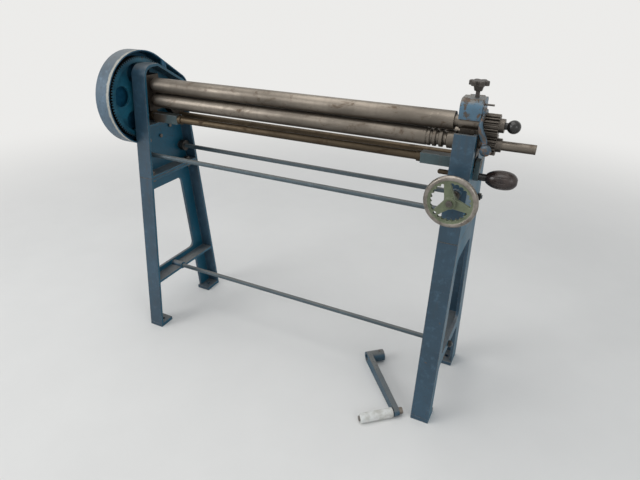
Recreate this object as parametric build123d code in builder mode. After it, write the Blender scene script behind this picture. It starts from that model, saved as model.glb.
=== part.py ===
from build123d import *
import os
from math import sin, cos, tan, pi, radians, degrees, asin, atan2, sqrt

# Hand-driven slip roll machine: two cast side frames, three rolls, geared drive.
# X runs along the rolls from left to right, Y from front to back, Z up, in millimetres.
# The origin is on the floor, in the middle of the four floor bolts.

# ---------------------------------------------------------------- clearances
RUNNING = 0.05         # radial gap of a shaft that turns in its bore
SEAT = 0.3             # gap between curved or moving faces that only lie near each other
BOLT_GAP = 0.5         # radial gap of a bolt in its clearance hole

# ---------------------------------------------------------------- side frames
FRAME_WIDTH = 58.0     # width of the channel section, along X
FRAME_DEPTH = 384.0    # front face to rear face on the floor
WEB = 10.0             # thickness of the upright web
FLANGE = 9.0           # thickness of the flanges
LEAN_FRONT = 0.1143    # how far the front face leans back, per mm of height
LEAN_REAR = 0.083      # how far the rear face leans forward, per mm of height
STAND_HEIGHT = 620.0   # floor to the joint between stand and head
HEAD_RISE = 120.0      # lower roll's axis to the top of the left head
HEAD_FLAT = 27.0       # level top of the left head, behind the lower roll's axis
HEAD_CORNER = 40.0     # rounded front top corner
HEAD_SLOPE = radians(31)
RIGHT_HEAD_RISE = 29.0 # the right head is open above this height over the lower roll's axis

OPENING_TOP = 555.0    # trapezoid opening of a stand
OPENING_BOTTOM = 227.0
CROSSBAR_BOTTOM = 190.0
FRONT_LEG = 42.0       # front leg, front face to the opening
REAR_LEG = 66.0        # rear leg on the floor, rear face to its inner edge
REAR_LEG_LEAN = 0.074
OPENING_CORNER = 22.0
RIB_THICKNESS = 9.0
RIB_Z = 202.0          # middle of the rib under the crossbar

FOOT_HEIGHT = 14.0
FRONT_PAD = 62.0       # foot pads, along Y
REAR_PAD = 78.0
BOLT_INSET = 34.0      # floor bolt, from the left face of its frame
FRONT_BOLT = 36.0      # floor bolts, from the front line
REAR_BOLT_INSET = 44.0 # rear floor bolts, from the rear face on the floor
FLOOR_BOLT_R = 7.0

FRAME_BOLT_R = 6.0     # bolts that hold a head to its stand
FRAME_BOLT_INSET = 33.0 # those bolts, from the front and rear faces

# the window in a head, where the bearing blocks sit
WINDOW_WIDTH = 60.6
WINDOW_DROP = 78.0     # lower roll's axis to the sill, also the top of the shelf
WINDOW_RISE = 95.0     # lower roll's axis to the top of the left window
SHELF_REACH = 83.0     # shelf behind the lower roll's axis, in front of the lift arm

# ---------------------------------------------------------------- rolls
ROLL_INSET = 55.273    # axis of the lower roll, from the front face at its height
ROLL_RISE = 270.0      # axis of the lower roll, above the stand
PINION_MODULE = 3.0
PINION_TEETH = 17
ROLL_SPACING = PINION_MODULE * PINION_TEETH
ROLL_R = 25.0
ROLL_GAP = 3.0         # side frames to the rolls' bodies
ROLL_LENGTH = 1050.0
NECK_R = 16.0          # bearing necks
UPPER_RIGHT_NECK_R = 20.0
PINION_SEAT_R = 14.0
STUB_R = 12.5          # crank end of the lower roll
STUB_END = 201.0       # from the right frame's left face
GEAR_SEAT_R = 15.0
GEAR_SEAT_END = 8.0    # how far the roll stands out of the main gear
UPPER_NECK_PROUD = 4.0
UPPER_SHOULDER = 5.0   # shoulder of the upper roll to its pinion
UPPER_SHORT = 8.0      # how much sooner the upper roll's body ends on the right
UPPER_JOURNAL = 2.0    # start of its right journal, from the right frame's left face
GROOVES = ((77.0, 2.0), (64.0, 4.0), (47.0, 5.0), (27.0, 6.5))  # from the right end, radius

REAR_ROLL_BACK = 57.0  # rear roll's axis behind the front ones
REAR_NECK_R = 11.0

# ---------------------------------------------------------------- gears
TEETH_BACKLASH = 0.6
TOOTH_ROOT = 1.25      # depth of a tooth's root, in modules
PRESSURE_ANGLE = radians(20)
PINION_GAP = 9.0       # right frame to the pinions
PINION_FACE = 36.0
PINION_HUB_R = 18.0
PINION_HUB = 13.0
MAIN_TEETH = 92
DRIVE_TEETH = 24
GEAR_GAP = 12.0        # left frame to the main gear
GEAR_FACE = 30.0
GEAR_RIM = 16.0
GEAR_WEB = 10.0
GEAR_HUB_R = 34.0
GEAR_HOLES = 5
GEAR_HOLE_R = 35.0
GEAR_HOLE_PITCH_R = 84.0
GEAR_HOLE_ANGLE = 168.0

# ---------------------------------------------------------------- hood
HOOD_DEPTH = 60.0
HOOD_WALL = 4.0
HOOD_BIG_R = 162.0
HOOD_SMALL_R = 61.4
HOOD_TAB_R = 9.0
HOOD_TAB = 9.0         # thickness of a tab
HOOD_TAB_ANGLES = (262.0, 285.0, 308.0)
HOOD_SCREW_R = 4.0
HOOD_SCREW_HEAD_R = 7.0
HOOD_SCREW_HEAD = 6.0
HOOD_TAB_ROOT_R = 2.0
HOOD_LUG_BACK = 118.0  # lug behind the lower roll's axis
HOOD_LUG_SCREW = 44.0  # its screw above that axis
HOOD_LUG_WIDTH = 20.0
HOOD_LUG_FOOT = 12.0   # lug below its screw

# ---------------------------------------------------------------- drive shaft
DRIVE_BOSS_R = 28.0
DRIVE_NECK_R = 15.0
DRIVE_STUB = 62.0      # crank end that stands out of the hood
DRIVE_STUB_R = 12.5
DRIVE_SEAT_R = 13.5    # seat of the drive pinion
DRIVE_COLLAR = 12.0
DRIVE_COLLAR_R = 22.0
HOOD_SHAFT_GAP = 1.5

# ---------------------------------------------------------------- bearing blocks
BLOCK_FIT = 0.3        # block to window, each side
BLOCK_LIP = 4.0        # lip that stops a block in its window
BLOCK_LIP_THICKNESS = 10.0
BLOCK_WIDTH = 50.0
BLOCK_PROUD = 2.0      # how far a block stands out of the web
LEFT_BLOCK_RISE = 85.0 # top of the blocks above the lower roll's axis
RIGHT_BLOCK_RISE = 40.0

# ---------------------------------------------------------------- clamp shaft
CLAMP_FORE = 2.0       # clamp shaft in front of the lower roll's axis
CLAMP_DROP = 59.0      # and below it
CLAMP_R = 12.0
CLAMP_START = 10.0     # from the left face of the left frame
CAM_OFFSET = 6.5
CAM_WALL = 3.0
CAM_R = 16.8
CAM_START = 14.0       # from the left face of its frame
CAM_WIDTH = 26.0
SUPPORT_SIZE = 30.0
SUPPORT_OUT = 92.0     # how far a support stands out of its frame
SUPPORT_IN = 12.0      # how far it reaches over the shelf
SET_COLLAR_R = 15.5    # collars on the clamp shaft, beside the supports
SET_COLLAR = 12.0
EGG_ARM_THROW = 32.0
EGG_ARM_ANGLE = radians(-105)
EGG_ARM_GAP = 2.0      # right frame to the arm
EGG_ARM_THICKNESS = 13.0
EGG_ARM_R = 17.0
EGG_ARM_END_R = 12.0
EGG_GRIP_GAP = 20.0    # arm to the grip
EGG_LENGTH = 80.0
EGG_R = 25.5
EGG_FLUTES = 12
EGG_FLUTE_R = 2.6
EGG_SPINDLE_R = 6.0
EGG_COLLAR_R = 10.0
EGG_END_WALL = 9.0

# ---------------------------------------------------------------- rear roll lift
PIVOT_BACK = 123.0     # pivot shaft behind the lower roll's axis
PIVOT_DROP = 80.0      # and below it
PIVOT_R = 12.0
ARM_HUB_R = 21.0
ARM_ROLL_HUB_R = 19.0
ARM_GAP = 1.5          # frame to the arm
ARM_WIDTH = 26.0
BOSS = 10.0            # how far a boss stands out of the web
TAIL_REST_ANGLE = radians(4)
TAIL_R = 16.0

# ---------------------------------------------------------------- handwheel
WHEEL_DROP = 128.0     # wheel's axis below the lower roll's
WHEEL_HUB_U = 16.0     # front of the hub, from the front line
WHEEL_R = 72.0
WHEEL_RIM_R = 8.0
WHEEL_HUB_R = 16.0
WHEEL_HUB_LENGTH = 26.0
WHEEL_BAND_R = 47.0    # inner radius of the scalloped band under the rim
WHEEL_BAND_THICKNESS = 10.0
WHEEL_SCALLOP_R = 6.5
WHEEL_SPOKES = 3
WHEEL_SPOKE_ANGLE = 105.0
WHEEL_SPOKE_ROOT = 30.0  # width of a spoke at the hub and at the rim
WHEEL_SPOKE_TIP = 13.0
WHEEL_SCALLOPS = 24
WHEEL_HANDLE_HOLE_R = 4.5
WHEEL_SEAT_R = 6.0     # journal of the screw in the wheel
WHEEL_NUT_R = 9.5
WHEEL_NUT = 4.0
SCREW_R = 8.0
SCREW_PAST_NUT = 9.0   # how far the screw reaches past its nut
SCREW_BUSH_R = 15.0
BUSH_FRONT = 6.0       # bush in front of the flange
BUSH_LENGTH = 19.0
SCREW_COLLAR_R = 13.0
SCREW_COLLAR = 8.0
NUT_WIDTH = 20.0
NUT_SIZE = 26.0
NUT_PIN_R = 6.0
FORK_CHEEK = 6.0
FORK_PLAY = 0.5
FORK_SLOT = 2.5        # how far the pin can rise or drop in its slot

# ---------------------------------------------------------------- bearing cap
# depths and heights here are taken from the lower roll's axis
CAP_FRONT = -24.0
CAP_REAR = 51.0        # full width in front of this, a narrow knuckle behind
CAP_BOTTOM = 61.0
CAP_TOP = 113.0
CAP_HINGE = (69.0, 61.0)
CAP_HINGE_R = 13.0
CAP_PIN_R = 5.0
CAP_ROUND = 24.0
CAP_REAR_ROUND = 14.0
EAR_NOSE = (57.0, 56.0)
EAR_RIDGE = (82.0, 69.0)
EAR_WEB = (10.0, 87.0, 133.0)  # height and the two depths of the outer ear's root
EAR_FLANGE = (-10.0, 25.0)     # heights of the inner ear's root on the rear flange
EAR_ROOT = 21.0                # its length along Y
STAR_BACK = 15.0
STAR_X = 34.0          # from the right frame's left face
STAR_KNOB_R = 26.0
STAR_LOBES = 6
STAR_LOBE_R = 8.0
STAR_HEIGHT = 12.0
STAR_EDGE = 3.0        # rounded edge of the lobes
STAR_STEM = 17.0       # bare stem above the cap
STAR_HUB = 14.0        # height of the conical hub on the stem
STAR_HUB_R = (10.0, 14.0)
STAR_SCREW_R = 5.5
STAR_SCREW_TIP = 70.5
LOCK_PIVOT = (-13.0, 84.0)
LOCK_BEND = (-41.0, 53.0)
LOCK_BALL = (-49.0, -5.0)
LOCK_BALL_X = 84.0     # from the right frame's left face
LOCK_BALL_R = 15.0
LOCK_HUB_R = 11.0
LOCK_HUB = 8.4
LOCK_PIN_R = 5.0
LOCK_PIN_DEPTH = 20.0
LOCK_NECK_R = 5.0      # spigot of the lever in the ball
LOCK_SECTIONS = ((4.0, 8.0), (4.0, 8.0), (6.0, 8.0), (8.0, 7.5), (7.0, 6.5))  # half widths
TOMMY_PIN_R = 2.5
TOMMY_PIN = (5.0, 99.0)
TOMMY_PIN_OUT = 24.0
TOMMY_PIN_IN = 10.0
BALL_KNOB_R = 17.5
BALL_KNOB_X = 138.0    # from the right frame's left face
BALL_NECK_R = 9.0
BALL_SPIGOT_R = 6.0

# ---------------------------------------------------------------- tie rods
TIE_R = 8.0
TIE_FRONT = (-37.0, -194.0)  # from the lower roll's axis
TIE_REAR = (137.0, -205.0)
TIE_LOW = (168.0, 207.0)     # from the front line and the floor
TIE_BOSS_R = 14.0
TIE_END_R = 6.0
NUT_R = 11.0
NUT_THICKNESS = 10.0
ROD_PROUD = 4.0        # how far a rod stands out of its nut
ROD_COLLAR_R = 20.0
ROD_COLLAR = 20.0
FRAME_BOLT_HEAD_R = 10.5
FRAME_BOLT_HEAD = 8.0
STOP_PIN = (-2.0, -95.0)     # from the lower roll's axis
STOP_PIN_R = 7.0
STOP_PIN_OUT = 42.0    # how far it stands out of the right frame

# ---------------------------------------------------------------- loose crank
CRANK_THROW = 268.0
CRANK_X = -222.0       # hub, from the right frame's left face
CRANK_U = 191.5
CRANK_ANGLE = 40.7     # direction of the hub's axis, from +X
CRANK_HUB_R = 21.0
CRANK_HUB_LENGTH = 56.0
CRANK_ARM_THICKNESS = 18.0
CRANK_END_R = 15.0
GRIP_R = 16.0
GRIP_LENGTH = 112.0
GRIP_SPINDLE_R = 5.0
GRIP_GAP = 3.0
SET_SCREW_R = 4.0
SET_SCREW_PLACE = 40.0
SET_SCREW_PROUD = 3.0
CRANK_BORE_R = 12.55
CRANK_NUT_R = 11.0
CRANK_NUT = 13.0
GRIP_WASHER_R = 9.0
GRIP_WASHER = 3.0

# ---------------------------------------------------------------- derived places
FRAME_SPAN = FRAME_WIDTH + 2 * ROLL_GAP + ROLL_LENGTH
LEFT_X = -FRAME_SPAN / 2 - BOLT_INSET
RIGHT_X = LEFT_X + FRAME_SPAN
RIGHT_WEB_X = RIGHT_X + FRAME_WIDTH - WEB
REAR_LEG_U = FRAME_DEPTH - REAR_LEG
REAR_BOLT = FRAME_DEPTH - REAR_BOLT_INSET
FRONT_Y = -(FRONT_BOLT + REAR_BOLT) / 2
LOWER_Z = STAND_HEIGHT + ROLL_RISE
UPPER_Z = LOWER_Z + ROLL_SPACING
ROLL_U = LEAN_FRONT * LOWER_Z + ROLL_INSET
ROLL_Y = FRONT_Y + ROLL_U
ROLL_X0 = LEFT_X + FRAME_WIDTH + ROLL_GAP
ROLL_X1 = ROLL_X0 + ROLL_LENGTH
REAR_ROLL_Y = ROLL_Y + REAR_ROLL_BACK
HEAD_TOP = LOWER_Z + HEAD_RISE
RIGHT_HEAD_TOP = LOWER_Z + RIGHT_HEAD_RISE
WINDOW_Y0 = ROLL_Y - WINDOW_WIDTH / 2
WINDOW_Y1 = ROLL_Y + WINDOW_WIDTH / 2
SILL_Z = LOWER_Z - WINDOW_DROP
CAP_TOP_Z = LOWER_Z + CAP_TOP
STAR_POINT = (RIGHT_X + STAR_X, ROLL_Y + STAR_BACK)
GEAR_CENTRES = PINION_MODULE * (MAIN_TEETH + DRIVE_TEETH) / 2
DRIVE_Y = ROLL_Y + GEAR_CENTRES
DRIVE_Z = LOWER_Z
PIVOT_Y = ROLL_Y + PIVOT_BACK
PIVOT_Z = LOWER_Z - PIVOT_DROP
WHEEL_X = RIGHT_X + FRAME_WIDTH / 2
WHEEL_Z = LOWER_Z - WHEEL_DROP
PINION_X0 = RIGHT_X + FRAME_WIDTH + PINION_GAP
PINION_X1 = PINION_X0 + PINION_FACE
GEAR_X0 = LEFT_X - GEAR_GAP - GEAR_FACE
GEAR_X1 = LEFT_X - GEAR_GAP
TAIL_LENGTH = PIVOT_Z - WHEEL_Z
SCREW_NUT_Y = PIVOT_Y + TAIL_LENGTH * tan(TAIL_REST_ANGLE)
BUSH_Y0 = FRONT_Y + LEAN_FRONT * WHEEL_Z - BUSH_FRONT
BUSH_Y1 = BUSH_Y0 + BUSH_LENGTH
LEFT_ARM_X = LEFT_X + WEB + BOSS + ARM_GAP
RIGHT_ARM_X = RIGHT_X + ARM_GAP
CLAMP_Y = ROLL_Y - CLAMP_FORE
CLAMP_Z = LOWER_Z - CLAMP_DROP
BLOCK_BOTTOM = CLAMP_Z + CAM_OFFSET + CAM_R + SEAT
EGG_ARM_X = RIGHT_X + FRAME_WIDTH + EGG_ARM_GAP
EGG_X0 = EGG_ARM_X + EGG_ARM_THICKNESS + EGG_GRIP_GAP
EGG_Y = CLAMP_Y + EGG_ARM_THROW * cos(EGG_ARM_ANGLE)
EGG_Z = CLAMP_Z + EGG_ARM_THROW * sin(EGG_ARM_ANGLE)

os.makedirs("parts", exist_ok=True)


def finish(piece, name):
    """Label a finished piece and write it as one STEP file."""
    piece.part.label = name
    export_step(piece.part, f"parts/{name}.step")


def front_u(z):
    """Front face of a frame at a height, from the front line."""
    return LEAN_FRONT * z


def rear_u(z):
    """Rear face of a frame at a height."""
    return FRAME_DEPTH - LEAN_REAR * z


def rear_leg_u(z):
    """Inner edge of the rear leg at a height."""
    return REAR_LEG_U - REAR_LEG_LEAN * z


def at(u, z):
    """A point in the upright plane, from its distance behind the front line."""
    return (FRONT_Y + u, z)


def near(place):
    """A point in the upright plane, from its place about the lower roll's axis."""
    return (ROLL_Y + place[0], LOWER_Z + place[1])


def disc(x0, x1, y, z, radius, mode=Mode.ADD):
    """A round solid along X inside the current piece."""
    with BuildSketch(Plane.YZ.offset(x0)) as profile:
        with Locations((y, z)):
            Circle(radius)
    extrude(profile.sketch, amount=x1 - x0, mode=mode)


def bar(x0, x1, y0, y1, z0, z1, mode=Mode.ADD):
    """A rectangular solid inside the current piece."""
    with BuildSketch(Plane.YZ.offset(x0)) as profile:
        with Locations(((y0 + y1) / 2, (z0 + z1) / 2)):
            Rectangle(abs(y1 - y0), abs(z1 - z0))
    extrude(profile.sketch, amount=x1 - x0, mode=mode)


def rod(x, z, y0, y1, radius, mode=Mode.ADD):
    """A round solid along Y inside the current piece."""
    with BuildSketch(Plane.XZ.offset(-y0)) as profile:
        with Locations((x, z)):
            Circle(radius)
    extrude(profile.sketch, amount=y0 - y1, mode=mode)


def hood_screws():
    """Places of the hood's screws: three under the gear and one in the top lug."""
    reach = HOOD_BIG_R - HOOD_WALL - HOOD_TAB_R
    places = []
    for angle in HOOD_TAB_ANGLES:
        places.append((ROLL_Y + reach * cos(radians(angle)), LOWER_Z + reach * sin(radians(angle))))
    places.append(near((HOOD_LUG_BACK, HOOD_LUG_SCREW)))
    return places


def frame_bolt_places(x0):
    """Places of the two bolts between a head and its stand, seen from above."""
    front_y = FRONT_Y + front_u(STAND_HEIGHT) + FRAME_BOLT_INSET
    rear_y = FRONT_Y + rear_u(STAND_HEIGHT) - FRAME_BOLT_INSET
    return [(x0 + BOLT_INSET, front_y), (x0 + BOLT_INSET, rear_y)]


def hexagon(x0, x1, y, z, radius, mode=Mode.ADD):
    """A hexagonal nut or bolt head along X inside the current piece."""
    with BuildSketch(Plane.YZ.offset(x0)) as profile:
        with Locations((y, z)):
            RegularPolygon(radius, 6)
    extrude(profile.sketch, amount=x1 - x0, mode=mode)


def hull(x0, x1, circles, mode=Mode.ADD):
    """A plate along X with the outline of a belt round several circles."""
    with BuildSketch(Plane.YZ.offset(x0)) as profile:
        for y, z, radius in circles:
            with Locations((y, z)):
                Circle(radius)
        make_hull()
    extrude(profile.sketch, amount=x1 - x0, mode=mode)


def involute(base_r, radius):
    """Angle swept by the involute of a base circle out to a radius."""
    if radius <= base_r:
        return 0.0
    turn = sqrt((radius / base_r) ** 2 - 1)
    return turn - atan2(turn, 1)


def gear_outline(teeth, first_tooth):
    """Points of a spur gear's outline; first_tooth is the angle of one tooth, in degrees."""
    pitch_r = PINION_MODULE * teeth / 2
    base_r = pitch_r * cos(PRESSURE_ANGLE)
    root_r = pitch_r - TOOTH_ROOT * PINION_MODULE
    tip_r = pitch_r + PINION_MODULE
    radii = [root_r, (root_r + pitch_r) / 2, pitch_r, (pitch_r + tip_r) / 2, tip_r]
    half_tooth = pi / (2 * teeth) - TEETH_BACKLASH / (4 * pitch_r)
    points = []
    for tooth in range(teeth):
        centre = radians(first_tooth) + 2 * pi * tooth / teeth
        flank = []
        for r in radii:
            half = half_tooth + involute(base_r, pitch_r) - involute(base_r, r)
            flank.append((r, half))
        for r, half in flank:
            points.append((r * cos(centre - half), r * sin(centre - half)))
        for r, half in reversed(flank):
            points.append((r * cos(centre + half), r * sin(centre + half)))
    return points


def toothed(x0, x1, y, z, teeth, first_tooth):
    """A toothed disc along X inside the current piece."""
    with BuildSketch(Plane.YZ.offset(x0)) as profile:
        with BuildLine():
            Polyline(*[(y + a, z + b) for a, b in gear_outline(teeth, first_tooth)], close=True)
        make_face()
    extrude(profile.sketch, amount=x1 - x0)


# ================================================================= side frames
def stand(name, x0, web_x):
    """Lower casting of a side frame: two legs, crossbar, top flange and feet."""
    channel_x = x0 + WEB if web_x == x0 else x0 - 1
    with BuildPart() as piece:
        with BuildSketch(Plane.YZ.offset(x0)):
            with BuildLine():
                Polyline(at(0, 0), at(FRAME_DEPTH, 0), at(rear_u(STAND_HEIGHT), STAND_HEIGHT),
                         at(front_u(STAND_HEIGHT), STAND_HEIGHT), close=True)
            make_face()
        extrude(amount=FRAME_WIDTH)
        # the channel between the flanges, open towards the other side of the web
        with BuildSketch(Plane.YZ.offset(channel_x)):
            with BuildLine():
                Polyline(at(FLANGE, -1), at(FRAME_DEPTH - FLANGE, -1),
                         at(rear_u(STAND_HEIGHT - FLANGE) - FLANGE, STAND_HEIGHT - FLANGE),
                         at(front_u(STAND_HEIGHT - FLANGE) + FLANGE, STAND_HEIGHT - FLANGE),
                         close=True)
            make_face()
        extrude(amount=FRAME_WIDTH - WEB + 1, mode=Mode.SUBTRACT)
        # the trapezoid opening and the gap between the legs
        with BuildSketch(Plane.YZ.offset(web_x - 1)) as opening:
            with BuildLine():
                Polyline(at(front_u(OPENING_BOTTOM) + FRONT_LEG, OPENING_BOTTOM),
                         at(rear_leg_u(OPENING_BOTTOM), OPENING_BOTTOM),
                         at(rear_leg_u(OPENING_TOP), OPENING_TOP),
                         at(front_u(OPENING_TOP) + FRONT_LEG, OPENING_TOP), close=True)
            make_face()
            fillet(opening.vertices(), OPENING_CORNER)
        extrude(amount=WEB + 2, mode=Mode.SUBTRACT)
        with BuildSketch(Plane.YZ.offset(web_x - 1)) as leg_gap:
            with BuildLine():
                Polyline(at(FRONT_LEG, -1), at(REAR_LEG_U, -1),
                         at(rear_leg_u(CROSSBAR_BOTTOM), CROSSBAR_BOTTOM),
                         at(front_u(CROSSBAR_BOTTOM) + FRONT_LEG, CROSSBAR_BOTTOM), close=True)
            make_face()
            fillet(leg_gap.vertices().group_by(Axis.Y)[-1], OPENING_CORNER)
        extrude(amount=WEB + 2, mode=Mode.SUBTRACT)
        # rib on the crossbar, between the flanges
        with BuildSketch(Plane.YZ.offset(x0)):
            with BuildLine():
                low, high = RIB_Z - RIB_THICKNESS / 2, RIB_Z + RIB_THICKNESS / 2
                Polyline(at(front_u(low) + 1, low), at(rear_u(low) - 1, low),
                         at(rear_u(high) - 1, high), at(front_u(high) + 1, high), close=True)
            make_face()
        extrude(amount=FRAME_WIDTH)
        # foot pads
        bar(x0, x0 + FRAME_WIDTH, FRONT_Y + 1, FRONT_Y + FRONT_PAD, 0, FOOT_HEIGHT)
        rear_edge = FRONT_Y + rear_u(FOOT_HEIGHT) - 1
        bar(x0, x0 + FRAME_WIDTH, FRONT_Y + FRAME_DEPTH - REAR_PAD, rear_edge, 0, FOOT_HEIGHT)
        # boss and bore of the low tie rod
        disc(x0, x0 + FRAME_WIDTH, FRONT_Y + TIE_LOW[0], TIE_LOW[1], TIE_BOSS_R)
        disc(x0 - 1, x0 + FRAME_WIDTH + 1, FRONT_Y + TIE_LOW[0], TIE_LOW[1],
             TIE_END_R + RUNNING, Mode.SUBTRACT)
        # floor bolt holes and head bolt holes
        with BuildSketch(Plane.XY.offset(-1)):
            with Locations((x0 + BOLT_INSET, FRONT_Y + FRONT_BOLT),
                           (x0 + BOLT_INSET, FRONT_Y + REAR_BOLT)):
                Circle(FLOOR_BOLT_R)
        extrude(amount=FOOT_HEIGHT + 2, mode=Mode.SUBTRACT)
        with BuildSketch(Plane.XY.offset(STAND_HEIGHT - FLANGE - 1)):
            with Locations(*frame_bolt_places(x0)):
                Circle(FRAME_BOLT_R + BOLT_GAP)
        extrude(amount=FLANGE + 2, mode=Mode.SUBTRACT)
    finish(piece, name)


def head_outline(wall):
    """Corners of a head in the upright plane, drawn in by a wall thickness."""
    low = STAND_HEIGHT + wall
    top = HEAD_TOP - wall
    flat_end = ROLL_U + HEAD_FLAT
    # where the sloping top meets the rear face
    rear_top = (HEAD_TOP - (FRAME_DEPTH - flat_end) * tan(HEAD_SLOPE)) / (1 - LEAN_REAR * tan(HEAD_SLOPE))
    rear_low = rear_top - wall / cos(HEAD_SLOPE)
    return [at(front_u(low) + wall, low), at(rear_u(low) - wall, low),
            at(rear_u(rear_low) - wall, rear_low + wall * tan(HEAD_SLOPE)),
            at(flat_end - wall * tan(HEAD_SLOPE / 2), top), at(front_u(top) + wall, top)]


def head(name, x0, web_x, is_right):
    """Upper casting of a side frame; the right one is open above, under the bearing cap."""
    channel_x = x0 - 1 if is_right else x0 + WEB
    with BuildPart() as piece:
        with BuildSketch(Plane.YZ.offset(x0)) as outer:
            with BuildLine():
                Polyline(*head_outline(0), close=True)
            make_face()
            fillet(outer.vertices().group_by(Axis.Y)[-1].sort_by(Axis.X)[0], HEAD_CORNER)
        extrude(amount=FRAME_WIDTH)
        with BuildSketch(Plane.YZ.offset(channel_x)) as inner:
            with BuildLine():
                Polyline(*head_outline(FLANGE), close=True)
            make_face()
            fillet(inner.vertices().group_by(Axis.Y)[-1].sort_by(Axis.X)[0], HEAD_CORNER - FLANGE)
        extrude(amount=FRAME_WIDTH - WEB + 1, mode=Mode.SUBTRACT)
        if is_right:
            bar(x0 - 1, x0 + FRAME_WIDTH + 1, FRONT_Y, FRONT_Y + FRAME_DEPTH,
                RIGHT_HEAD_TOP, HEAD_TOP + 1, Mode.SUBTRACT)
        # shelf under the window
        bar(x0, x0 + FRAME_WIDTH, FRONT_Y + front_u(SILL_Z) + 1, ROLL_Y + SHELF_REACH,
            SILL_Z - FLANGE, SILL_Z)
        # window for the bearing blocks
        window_top = HEAD_TOP + 1 if is_right else LOWER_Z + WINDOW_RISE
        bar(web_x - 1, web_x + WEB + 1, WINDOW_Y0, WINDOW_Y1, SILL_Z, window_top, Mode.SUBTRACT)
        if is_right:
            right_head_details(x0)
        else:
            left_head_details(x0)
        # bore of the pivot shaft, bosses and bores of the middle tie rods, bolts to the stand
        disc(x0 - 1, x0 + FRAME_WIDTH + 1, PIVOT_Y, PIVOT_Z, PIVOT_R + RUNNING, Mode.SUBTRACT)
        boss_x = web_x - BOSS if is_right else web_x
        for place in (TIE_FRONT, TIE_REAR):
            y, z = near(place)
            disc(boss_x, boss_x + WEB + BOSS, y, z, TIE_BOSS_R)
            disc(boss_x - 1, boss_x + WEB + BOSS + 1, y, z, TIE_END_R + RUNNING, Mode.SUBTRACT)
        with BuildSketch(Plane.XY.offset(STAND_HEIGHT - 1)):
            with Locations(*frame_bolt_places(x0)):
                Circle(FRAME_BOLT_R + BOLT_GAP)
        extrude(amount=FLANGE + 2, mode=Mode.SUBTRACT)
    finish(piece, name)


def left_head_details(x0):
    """Bosses of the pivot shaft and the drive shaft, and the holes of the hood's screws."""
    disc(x0, x0 + WEB + BOSS, PIVOT_Y, PIVOT_Z, ARM_HUB_R)
    hull(x0, x0 + WEB, [(DRIVE_Y, DRIVE_Z, DRIVE_BOSS_R),
                        (DRIVE_Y - 3 * DRIVE_BOSS_R, DRIVE_Z, DRIVE_BOSS_R)])
    disc(x0, x0 + FRAME_WIDTH, DRIVE_Y, DRIVE_Z, DRIVE_BOSS_R)
    disc(x0 - 1, x0 + FRAME_WIDTH + 1, DRIVE_Y, DRIVE_Z, DRIVE_NECK_R + RUNNING, Mode.SUBTRACT)
    for y, z in hood_screws():
        disc(x0 - 1, x0 + WEB + 1, y, z, HOOD_SCREW_R + BOLT_GAP, Mode.SUBTRACT)


def right_head_details(x0):
    """Ears of the cap's hinge on the web and on the rear flange, and the bush of the screw."""
    hinge_y, hinge_z = near(CAP_HINGE)
    root_z, root_front, root_rear = EAR_WEB
    web_ear = [near((root_front, root_z)), near((root_rear, root_z)), near(EAR_RIDGE), near(EAR_NOSE)]
    low, high = LOWER_Z + EAR_FLANGE[0], LOWER_Z + EAR_FLANGE[1]
    flange_ear = [at(rear_u(low) - EAR_ROOT, low), at(rear_u(low) - 1, low),
                  at(rear_u(high) - 1, high), near(EAR_RIDGE), near(EAR_NOSE)]
    for ear_x, corners in ((RIGHT_WEB_X, web_ear), (x0, flange_ear)):
        with BuildSketch(Plane.YZ.offset(ear_x)) as ear:
            with BuildLine():
                Polyline(*corners, close=True)
            make_face()
            with Locations((hinge_y, hinge_z)):
                Circle(CAP_HINGE_R)
        extrude(ear.sketch, amount=WEB)
    disc(x0 - 1, x0 + FRAME_WIDTH + 1, hinge_y, hinge_z, CAP_PIN_R + RUNNING, Mode.SUBTRACT)
    rod(WHEEL_X, WHEEL_Z, BUSH_Y0, BUSH_Y1, SCREW_BUSH_R)
    rod(WHEEL_X, WHEEL_Z, BUSH_Y0 - 1, BUSH_Y1 + 1, SCREW_R + RUNNING, Mode.SUBTRACT)


stand("left_stand", LEFT_X, LEFT_X)
stand("right_stand", RIGHT_X, RIGHT_WEB_X)
head("left_head", LEFT_X, LEFT_X, False)
head("right_head", RIGHT_X, RIGHT_WEB_X, True)

# ================================================================= rolls
with BuildPart() as lower_roll:
    disc(GEAR_X0 - GEAR_SEAT_END, LEFT_X - BLOCK_PROUD, ROLL_Y, LOWER_Z, GEAR_SEAT_R)
    disc(LEFT_X - BLOCK_PROUD, ROLL_X0, ROLL_Y, LOWER_Z, NECK_R)
    disc(ROLL_X0, ROLL_X1, ROLL_Y, LOWER_Z, ROLL_R)
    disc(ROLL_X1, PINION_X0, ROLL_Y, LOWER_Z, NECK_R)
    disc(PINION_X0, PINION_X1 + PINION_HUB, ROLL_Y, LOWER_Z, PINION_SEAT_R)
    disc(PINION_X1 + PINION_HUB, RIGHT_X + STUB_END, ROLL_Y, LOWER_Z, STUB_R)
    for from_end, radius in GROOVES:
        with Locations((ROLL_X1 - from_end, ROLL_Y, LOWER_Z)):
            Torus(ROLL_R, radius, rotation=(0, 90, 0), mode=Mode.SUBTRACT)
finish(lower_roll, "lower_roll")

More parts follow.
